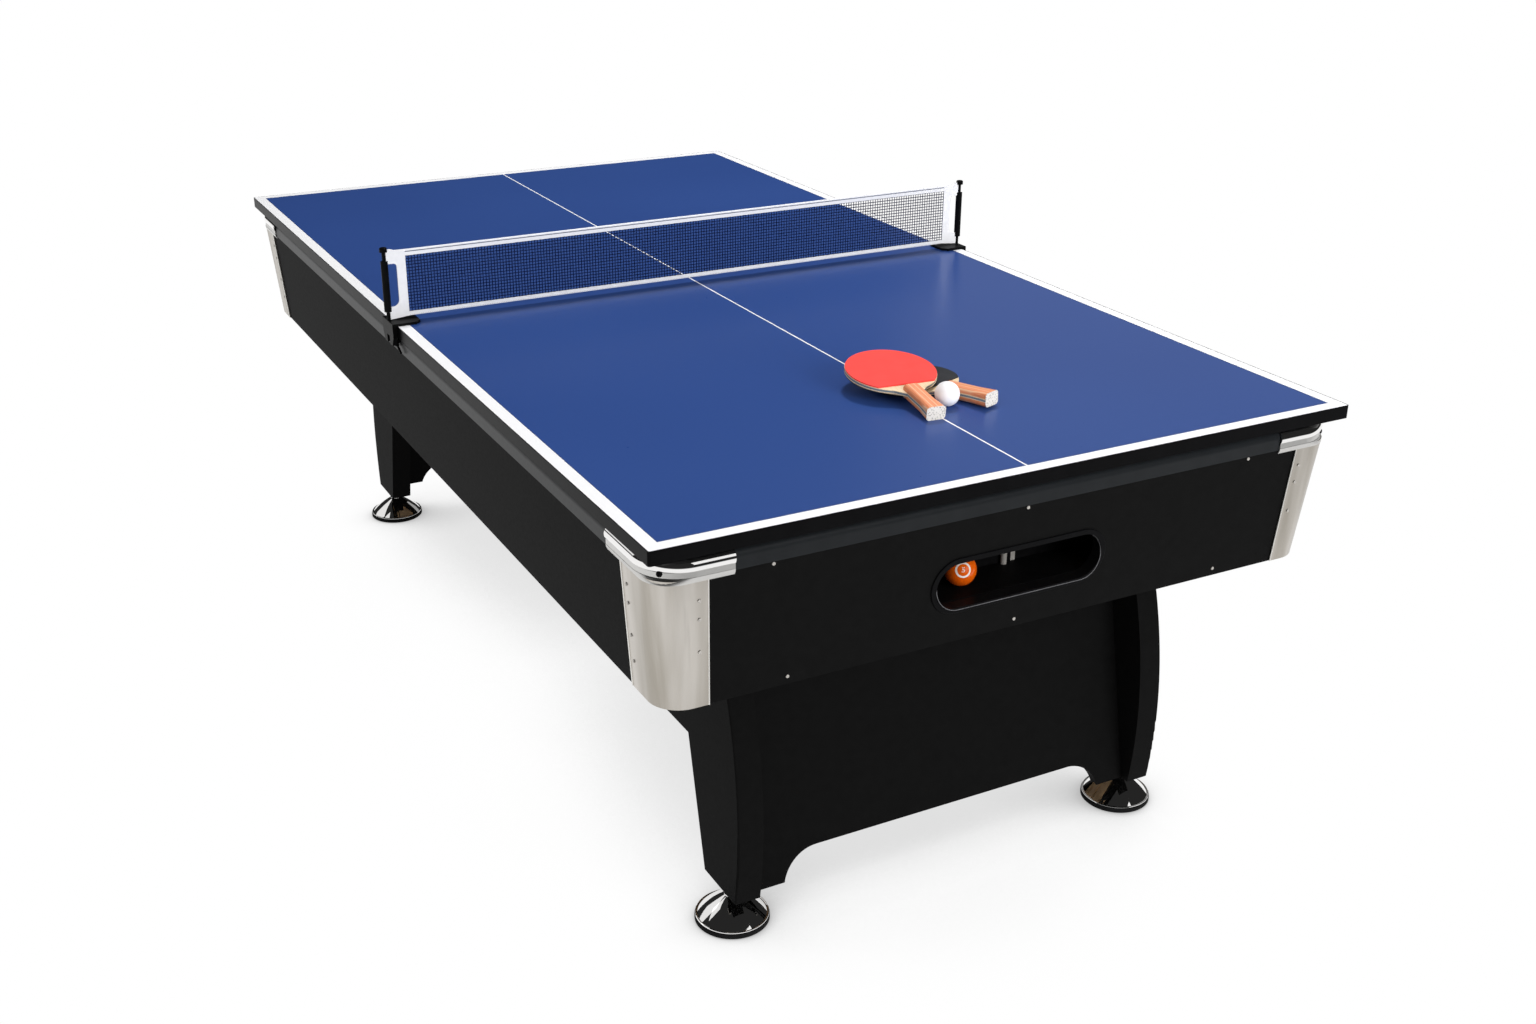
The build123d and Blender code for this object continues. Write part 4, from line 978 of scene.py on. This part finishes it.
def bezel_lip_painted_highlight():
    """The edge of the ball return's trim along its inner rim: a glossy tube coloured grey as a painted highlight on the
    black trim.
    """
    finish = Finish("bezel_lip_painted_highlight", screen(70, 70, 72), 0.25, Specular_IOR_Level=0.5)
    highlight_mottle = finish.noise(90, detail=3)
    # Grey instead of black: painted highlight along the rim, mottled a little.
    finish.set("Base Color", finish.blend(highlight_mottle, screen(58, 58, 60), screen(96, 96, 99)))
    finish.set("Roughness", finish.span(highlight_mottle, 0.2, 0.8, 0.2, 0.3))
    low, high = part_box("return_bezel")
    reach = RETURN_HALF_LENGTH - RETURN_RADIUS
    loop = arc_points((reach, 0), RETURN_RADIUS, -90, 90, 20)
    loop += arc_points((-reach, 0), RETURN_RADIUS, 90, 270, 20)
    middle = Vector(((low.x + high.x) / 2, 0, (low.z + high.z) / 2))
    lean = Matrix.Rotation(-RETURN_LEAN, 4, "X")
    place = Matrix.Translation((middle.x, low.y + RETURN_FACE_INSET, middle.z)) @ lean
    shape = bmesh.new()
    sides = 8
    rings = []
    for index, (x, z) in enumerate(loop):
        after_x, after_z = loop[(index + 1) % len(loop)]
        before_x, before_z = loop[index - 1]
        out = Vector((after_z - before_z, 0, before_x - after_x)).normalized()
        section = []
        for step in range(sides):
            angle = step / sides * 2 * math.pi
            offset = out * math.cos(angle) + Vector((0, math.sin(angle), 0))
            section.append(shape.verts.new(Vector((x, 0, z)) + offset * BEZEL_LIP_RADIUS))
        rings.append(section)
    for first, second in zip(rings, rings[1:] + rings[:1]):
        for step in range(sides):
            after = (step + 1) % sides
            shape.faces.new((first[step], first[after], second[after], second[step]))
    bmesh.ops.transform(shape, matrix=place, verts=shape.verts)
    piece("bezel_lip_painted_highlight", from_bmesh("bezel_lip_painted_highlight", shape), finish, "table")


def plate_hems_painted_highlight():
    """Rolled edges of the corner plates, coloured lighter than the plates as a painted highlight along them."""
    finish = Finish("plate_hem", (0.8, 0.79, 0.77, 1), 0.4, Metallic=1.0)
    highlight_mottle = finish.noise(160, detail=4)
    # Lighter than the plates: painted highlight along their edges, mottled a little.
    finish.set("Base Color", finish.blend(highlight_mottle, screen(232, 229, 223), screen(252, 250, 246)))
    finish.set("Roughness", finish.span(highlight_mottle, 0.3, 0.7, 0.34, 0.48))
    for side, end in CORNERS:
        shape = bmesh.new()
        for low, high in (PLATE_END_EDGE, PLATE_SIDE_EDGE):
            rod(shape, Vector(low), Vector(high), 1.2 * MM)
        name = f"plate_hem_{CORNERS[side, end]}"
        piece(name, from_bmesh(name, mirrored(shape, side, end)), finish, "table")


def rod(shape, low, high, radius, sides=10):
    """A straight closed rod between two points."""
    ahead = (high - low).normalized()
    out = ahead.orthogonal().normalized()
    side = ahead.cross(out)
    rings = []
    for point, size in (
        (low, radius * 0.6), (low + ahead * radius * 0.4, radius),
        (high - ahead * radius * 0.4, radius), (high, radius * 0.6),
    ):
        angles = (step / sides * 2 * math.pi for step in range(sides))
        rings.append(
            [shape.verts.new(point + (out * math.cos(a) + side * math.sin(a)) * size) for a in angles]
        )
    for first, second in zip(rings, rings[1:]):
        for step in range(sides):
            after = (step + 1) % sides
            shape.faces.new((first[step], first[after], second[after], second[step]))
    shape.faces.new(rings[0])
    shape.faces.new(reversed(rings[-1]))


def board_lines():
    """White border and centre line on the board, with a fine darker line inside the border."""
    low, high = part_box("tennis_board")
    top = high.z
    outer_x = high.x - 0.1 * MM
    outer_y = high.y - 0.1 * MM
    white = line_paint("line_white", screen(254, 254, 255), screen(248, 248, 250))
    dark = line_paint("line_shade", screen(38, 60, 122), screen(33, 54, 112))
    inner_x = outer_x - LINE_WIDTH + EDGE_BAND
    inner_y = outer_y - LINE_WIDTH + EDGE_BAND
    place = Matrix.Translation((0, 0, top + PAINT_THICKNESS / 2))
    border = [rectangle(outer_x, outer_y, 2.5 * MM), rectangle(inner_x, inner_y)]
    ring = plate_mesh("line_border", border, PAINT_THICKNESS / 2, 0.0, place)
    piece("line_border", ring, white, "tennis_top")
    half = CENTRE_LINE_WIDTH / 2
    centre = plate_mesh("line_centre", [rectangle(half, inner_y)], PAINT_THICKNESS / 2, 0.0, place)
    piece("line_centre", centre, white, "tennis_top")
    shade = [
        rectangle(inner_x, inner_y),
        rectangle(inner_x - SHADE_LINE_WIDTH, inner_y - SHADE_LINE_WIDTH),
    ]
    lower = Matrix.Translation((0, 0, top + PAINT_THICKNESS / 4))
    piece(
        "line_shade", plate_mesh("line_shade", shade, PAINT_THICKNESS / 4, 0.0, lower), dark,
        "tennis_top",
    )


def ball_mesh(name, radius, centre, seam_rise=0.0, seam_normal=Vector((0, 0, 1))):
    """A fine ball; a seam is a low ridge round its tilted equator."""
    shape = bmesh.new()
    bmesh.ops.create_icosphere(shape, subdivisions=6, radius=radius)
    for vert in shape.verts:
        if seam_rise:
            away = abs(vert.co.dot(seam_normal)) / (0.5 * MM)
            vert.co *= 1 + seam_rise / radius * math.exp(-away * away)
        vert.co += centre
    return from_bmesh(name, shape)


def tennis_ball():
    """The white ball with the faint joint of its two halves."""
    low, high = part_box("tennis_ball")
    tilt = Vector((0.35, 0.5, 0.79)).normalized()
    mesh = ball_mesh("white_ball", TENNIS_BALL_RADIUS, (low + high) / 2, 0.03 * MM, tilt)
    made = piece("white_ball", mesh, ball_white(), "tennis_ball")
    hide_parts("tennis_ball")


def on_ball(x, y, radius, centre, facing, lift):
    """A point of a flat drawing wrapped on a ball, with the drawing's middle facing that way."""
    right = Vector((0, 0, 1)).cross(facing).normalized()
    up = facing.cross(right)
    away = math.hypot(x, y)
    direction = facing
    if away > 0:
        toward = (right * x + up * y) / away
        direction = facing * math.cos(away / radius) + toward * math.sin(away / radius)
    return centre + direction * (radius + lift)


def pool_ball():
    """The orange ball with a white ring and its number."""
    low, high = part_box("pool_ball")
    centre = (low + high) / 2
    body = piece(
        "orange_ball", ball_mesh("orange_ball", POOL_BALL_RADIUS, centre), ball_resin(), "pool_ball",
    )
    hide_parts("pool_ball")
    white = Finish("ball_mark", screen(204, 200, 194), 0.15, Coat_Weight=0.4, Coat_Roughness=0.05)
    white.set("Base Color", white.blend(white.noise(200), screen(192, 187, 180), screen(214, 211, 206)))
    facing = (CAMERA_PLACE - centre).normalized()
    facing = (facing + Vector((0.22, 0, -0.1))).normalized()
    shape = bmesh.new()
    steps = 72
    rings = [
        [
            shape.verts.new(
                on_ball(
                    size * math.cos(step / steps * 2 * math.pi),
                    size * math.sin(step / steps * 2 * math.pi),
                    POOL_BALL_RADIUS, centre, facing, 0.04 * MM,
                )
            )
            for step in range(steps)
        ]
        for size in (9.2 * MM, 10.2 * MM, 11.2 * MM, 12.2 * MM)
    ]
    for first, second in zip(rings, rings[1:]):
        for step in range(steps):
            after = (step + 1) % steps
            shape.faces.new((first[step], second[step], second[after], first[after]))
    piece("ball_ring", from_bmesh("ball_ring", shape), white, "pool_ball")
    number_on_ball(centre, facing, white)


def number_on_ball(centre, facing, finish):
    """The number of the orange ball, wrapped on its surface."""
    text = bpy.data.curves.new("ball_number", "FONT")
    text.body = "5"
    text.size = 11 * MM
    text.align_x = "CENTER"
    text.align_y = "CENTER"
    text.offset = 0.3 * MM
    carrier = bpy.data.objects.new("ball_number", text)
    bpy.context.scene.collection.objects.link(carrier)
    bpy.context.view_layer.update()
    mesh = bpy.data.meshes.new_from_object(carrier.evaluated_get(bpy.context.evaluated_depsgraph_get()))
    bpy.data.objects.remove(carrier)
    for vert in mesh.vertices:
        vert.co = on_ball(vert.co.x, vert.co.y, POOL_BALL_RADIUS, centre, facing, 0.04 * MM)
    piece("ball_number", mesh, finish, "pool_ball")


def bed_cloth(finish):
    """The cloth stretched over the bed, cut out at the six pockets."""
    low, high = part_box("bed_cloth")
    half_x = high.x
    half_y = high.y
    corner_reach = (505 * MM, 1015 * MM, 57.3 * MM)
    side_reach = (521 * MM, 52.3 * MM)
    loops = [rectangle(half_x, half_y)]
    for side in (-1, 1):
        loops.append(circle(side * side_reach[0], 0, side_reach[1]))
        for end in (-1, 1):
            loops.append(circle(side * corner_reach[0], end * corner_reach[1], corner_reach[2]))
    half = (high.z - low.z) / 2
    mesh = plate_mesh("cloth_sheet", loops, half, 0.2 * MM, Matrix.Translation((0, 0, (low.z + high.z) / 2)))
    made = piece("cloth_sheet", mesh, finish, "table")
    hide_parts("bed_cloth")


def cushion_mesh(name, inner, outer, nose, back, turn):
    """One cushion along Y: a triangular section with a rounded nose and slanted facings."""
    top = 747.5 * MM
    nose_z = 743 * MM
    profile = [(outer, top), (inner + 3.4 * MM, nose_z + 2.2 * MM)]
    profile += arc_points((inner + 2.2 * MM, nose_z), 2.2 * MM, 110, 235, 6)
    profile += [(inner + 2.4 * MM, nose_z - 3.4 * MM), (outer, 719 * MM)]
    shape = bmesh.new()
    steps = 60
    rings = []
    for step in range(steps + 1):
        share = step / steps
        ring = []
        for x, z in profile:
            back_share = (x - inner) / (outer - inner)
            y_from = nose[0] + (back[0] - nose[0]) * back_share
            y_to = nose[1] + (back[1] - nose[1]) * back_share
            ring.append(shape.verts.new(turn @ Vector((x, y_from + (y_to - y_from) * share, z))))
        rings.append(ring)
    for first, second in zip(rings, rings[1:]):
        for index in range(len(profile)):
            after = (index + 1) % len(profile)
            shape.faces.new((first[index], first[after], second[after], second[index]))
    shape.faces.new(rings[0])
    shape.faces.new(reversed(rings[-1]))
    return from_bmesh(name, shape)


def cushions(finish):
    """Six rubber cushions covered with the bed's cloth."""
    long_nose = (60 * MM, 942 * MM)
    long_back = (55 * MM, 958 * MM)
    for side, end in ((-1, -1), (1, -1), (-1, 1), (1, 1)):
        turn = Matrix.Diagonal((side, end, 1))
        name = f"cushion_{'left' if side < 0 else 'right'}_{'near' if end < 0 else 'far'}"
        mesh = cushion_mesh(name, 485 * MM, 525 * MM, long_nose, long_back, turn)
        piece(name, mesh, finish, "table")
    for end in (-1, 1):
        turn = Matrix.Rotation(end * math.pi / 2, 3, "Z")
        name = f"cushion_end_{'near' if end < 0 else 'far'}"
        reach = 432 * MM
        back = 447 * MM
        mesh = cushion_mesh(name, 995 * MM, 1035 * MM, (-reach, reach), (-back, back), turn)
        piece(name, mesh, finish, "table")
    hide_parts("cushions")


def camera():
    """The camera at the photograph's viewing angle."""
    data = bpy.data.cameras.new("camera")
    data.sensor_width = 36
    data.lens = FOCAL_PIXELS / IMAGE_WIDTH * data.sensor_width
    data.shift_x = (IMAGE_WIDTH / 2 - CENTRE_PIXEL[0]) / IMAGE_WIDTH
    data.shift_y = (CENTRE_PIXEL[1] - IMAGE_HEIGHT / 2) / IMAGE_WIDTH
    data.clip_start = 0.05
    data.clip_end = 100
    made = bpy.data.objects.new("camera", data)
    bpy.context.scene.collection.objects.link(made)
    yaw = Matrix.Rotation(-CAMERA_YAW, 4, "Z")
    pitch = Matrix.Rotation(math.pi / 2 + CAMERA_PITCH, 4, "X")
    roll = Matrix.Rotation(CAMERA_ROLL, 4, "Z")
    made.matrix_world = Matrix.Translation(CAMERA_PLACE) @ yaw @ pitch @ roll
    bpy.context.scene.camera = made


def either(tree, first, second):
    """1 where one of two outputs is 1."""
    most = tree.nodes.new("ShaderNodeMath")
    most.operation = "MAXIMUM"
    tree.links.new(first, most.inputs[0])
    tree.links.new(second, most.inputs[1])
    return most.outputs[0]


def floor_shadow(tree, reach, darkest, end, lightness):
    """How light the floor is where what stands near it hides the open sky."""
    open_sky = tree.nodes.new("ShaderNodeAmbientOcclusion")
    open_sky.samples = 24
    open_sky.inputs["Distance"].default_value = reach
    level = tree.nodes.new("ShaderNodeMapRange")
    level.interpolation_type = "SMOOTHSTEP"
    tree.links.new(open_sky.outputs["AO"], level.inputs["Value"])
    level.inputs["From Min"].default_value = darkest
    level.inputs["From Max"].default_value = end
    level.inputs["To Min"].default_value = lightness
    level.inputs["To Max"].default_value = 1.0
    return level.outputs["Result"]


def lit_floor(tree, glossy):
    """1 to the eye, while gloss sees the floor fade to dark in front of the table."""
    point = tree.nodes.new("ShaderNodeTexCoord")
    parts = tree.nodes.new("ShaderNodeSeparateXYZ")
    tree.links.new(point.outputs["Object"], parts.inputs["Vector"])
    fade = tree.nodes.new("ShaderNodeMapRange")
    fade.interpolation_type = "SMOOTHSTEP"
    tree.links.new(parts.outputs["Y"], fade.inputs["Value"])
    fade.inputs["From Min"].default_value = LIT_FLOOR[0]
    fade.inputs["From Max"].default_value = LIT_FLOOR[1]
    fade.inputs["To Min"].default_value = DARK_CEILING
    fade.inputs["To Max"].default_value = 1.0
    level = tree.nodes.new("ShaderNodeMix")
    tree.links.new(glossy, level.inputs["Factor"])
    level.inputs["A"].default_value = 1.0
    tree.links.new(fade.outputs["Result"], level.inputs["B"])
    return level.outputs["Result"]


def product(tree, first, second):
    """Two outputs multiplied."""
    made = tree.nodes.new("ShaderNodeMath")
    made.operation = "MULTIPLY"
    tree.links.new(first, made.inputs[0])
    tree.links.new(second, made.inputs[1])
    return made.outputs[0]


def floor():
    """A pale floor that is white to the eye and keeps a soft shadow close to the table."""
    material = bpy.data.materials.new("floor")
    material.use_nodes = True
    tree = material.node_tree
    tree.nodes.clear()
    plain = tree.nodes.new("ShaderNodeBsdfDiffuse")
    plain.inputs["Color"].default_value = (FLOOR_COLOUR, FLOOR_COLOUR, FLOOR_COLOUR, 1)
    wide, close = (floor_shadow(tree, *settings) for settings in SHADOWS)
    path = tree.nodes.new("ShaderNodeLightPath")
    lit = lit_floor(tree, path.outputs["Is Glossy Ray"])
    glow = tree.nodes.new("ShaderNodeEmission")
    tree.links.new(product(tree, product(tree, wide, close), lit), glow.inputs["Strength"])
    shown = either(tree, path.outputs["Is Camera Ray"], path.outputs["Is Glossy Ray"])
    shown = either(tree, shown, path.outputs["Is Transmission Ray"])
    choice = tree.nodes.new("ShaderNodeMixShader")
    tree.links.new(shown, choice.inputs[0])
    tree.links.new(plain.outputs[0], choice.inputs[1])
    tree.links.new(glow.outputs[0], choice.inputs[2])
    output = tree.nodes.new("ShaderNodeOutputMaterial")
    tree.links.new(choice.outputs[0], output.inputs["Surface"])
    shape = bmesh.new()
    bmesh.ops.create_grid(shape, x_segments=1, y_segments=1, size=30)
    made = bpy.data.objects.new("floor", from_bmesh("floor", shape))
    made.data.materials.append(material)
    bpy.context.scene.collection.objects.link(made)


def world():
    """Soft light from all round, a background that is white to the eye and dark in gloss."""
    made = bpy.data.worlds.new("world")
    made.use_nodes = True
    bpy.context.scene.world = made
    tree = made.node_tree
    background = tree.nodes["Background"]
    background.inputs["Color"].default_value = (1, 1, 1, 1)
    path = tree.nodes.new("ShaderNodeLightPath")
    glossy = tree.nodes.new("ShaderNodeMix")
    tree.links.new(path.outputs["Is Glossy Ray"], glossy.inputs["Factor"])
    glossy.inputs["A"].default_value = 1.0
    glossy.inputs["B"].default_value = DARK_CEILING
    shown = either(tree, path.outputs["Is Camera Ray"], path.outputs["Is Glossy Ray"])
    shown = either(tree, shown, path.outputs["Is Transmission Ray"])
    level = tree.nodes.new("ShaderNodeMix")
    tree.links.new(shown, level.inputs["Factor"])
    level.inputs["A"].default_value = WORLD_LIGHT
    tree.links.new(glossy.outputs["Result"], level.inputs["B"])
    tree.links.new(level.outputs["Result"], background.inputs["Strength"])


def lamp(name, place, target, size, power, gloss=True, diffuse=True):
    """A square soft box that shines at a target, seen in gloss, on matte surfaces or in both."""
    data = bpy.data.lights.new(name, "AREA")
    data.shape = "SQUARE"
    data.size = size
    data.energy = power
    made = bpy.data.objects.new(name, data)
    bpy.context.scene.collection.objects.link(made)
    made.location = place
    made.rotation_euler = (Vector(target) - Vector(place)).to_track_quat("-Z", "Y").to_euler()
    made.visible_glossy = gloss
    made.visible_diffuse = diffuse


def lights():
    """A key light from the right, a broad fill from the front and a dim card for the chrome."""
    lamp("key", (1.2, 0.8, 3.9), (0, -0.2, 0.7), 0.55, 76)
    lamp("fill", (0.9, -4.2, 1.6), (0, -0.6, 0.6), 2.2, 135, gloss=False)
    lamp("side", (-3.4, -0.6, 2.6), (-0.6, -0.4, 0.7), 1.6, 18, gloss=False)
    lamp("sheen", (3.1, 2.1, 2.1), (0.3, -0.6, 0.77), 2.2, 5)
    lamp("card_front", (1.3, -4.6, 2.5), (-0.5, -1.1, 0.75), 2.2, 14.5, diffuse=False)
    lamp("card_back", (-2.7, 2.6, 2.3), (-0.6, 0, 0.75), 2.2, 13, diffuse=False)
    lamp("card_left", (-2.3, 0.6, 2.3), (-0.4, -0.9, 0.05), 1.0, 2.6, diffuse=False)


def all_nodes(start):
    """The names of the CAD nodes that start so."""
    return [name for name in nodes if name.startswith(start)]


def dress_cabinet():
    """Finishes of the pool table."""
    black = laminate()
    dress(black, "black_laminate", *all_nodes("apron_"), *all_nodes("leg_"), *all_nodes("end_panel_"))
    dress(black, "black_laminate", *all_nodes("side_beam_"))
    dress(rail_lacquer(), "rail_lacquer", *all_nodes("rail_"))
    dress(gloss_trim(), "gloss_trim", "return_bezel")
    mirror = chrome()
    dress(mirror, "chrome", *all_nodes("foot_disc_"))
    satin = cast_metal()
    dress(satin, "chrome", "corner_caps")
    cap_beads(mirror)
    cap_lips(satin)
    foot_rings(mirror)
    bezel_lip_painted_highlight()
    cap_screws(moulded("screw_black", 8, 0.35))
    plate_hems_painted_highlight()
    dress(satin_aluminium(), "satin_aluminium", "corner_plates")
    dress(moulded("foot_rubber", 20, 0.7), "foot_rubber", *all_nodes("foot_pad_"))
    dress(moulded("pocket_plastic", 14, 0.45), "pocket_plastic", *all_nodes("pocket_liner_"))
    inner = moulded("runway_plastic", 6, 0.6)
    dress(inner, "runway_plastic", *all_nodes("ball_runway_"), "ball_tray")
    board = timber("bed_board", screen(150, 122, 92), screen(188, 158, 122), (1, 1, 1), 500)
    dress(board, "bed_board", "bed_slab")
    beams = timber("frame_wood", screen(158, 122, 80), screen(206, 170, 124), (0.05, 1, 1))
    dress(beams, "frame_wood", "cross_beams")
    dress(zinc_steel(), "zinc_steel", "fasteners")


def dress_top():
    """Finishes of the table tennis top and what is on it."""
    dress(board_blue(), "blue_board", "tennis_board")
    dress(gloss_trim(), "gloss_trim", "board_edge_band")
    dress(moulded("bearer_rubber", 20, 0.75), "bearer_rubber", "board_bearers")
    powder = moulded("clamp_black", 9, 0.4)
    dress(powder, "clamp_black", *all_nodes("net_clamp_"), *all_nodes("clamp_screw_"))
    dress(zinc_steel(), "zinc_steel", *all_nodes("clamp_pad_"))
    for colour in ("red", "black"):
        dress(blade_ply(colour), "ply", f"paddle_{colour}_blade")
        dress(rubber(colour), f"rubber_{colour}", f"paddle_{colour}_rubber")
        dress(grip_wood(colour), "grip_wood", f"paddle_{colour}_grip")


camera()
floor()
world()
lights()
dress_cabinet()
dress_top()
board_lines()
threads, net_size = net()
tapes = net_border()
tennis_ball()
pool_ball()
blue_cloth = felt()
bed_cloth(blue_cloth)
cushions(blue_cloth)

bpy.context.scene.view_settings.view_transform = "Standard"
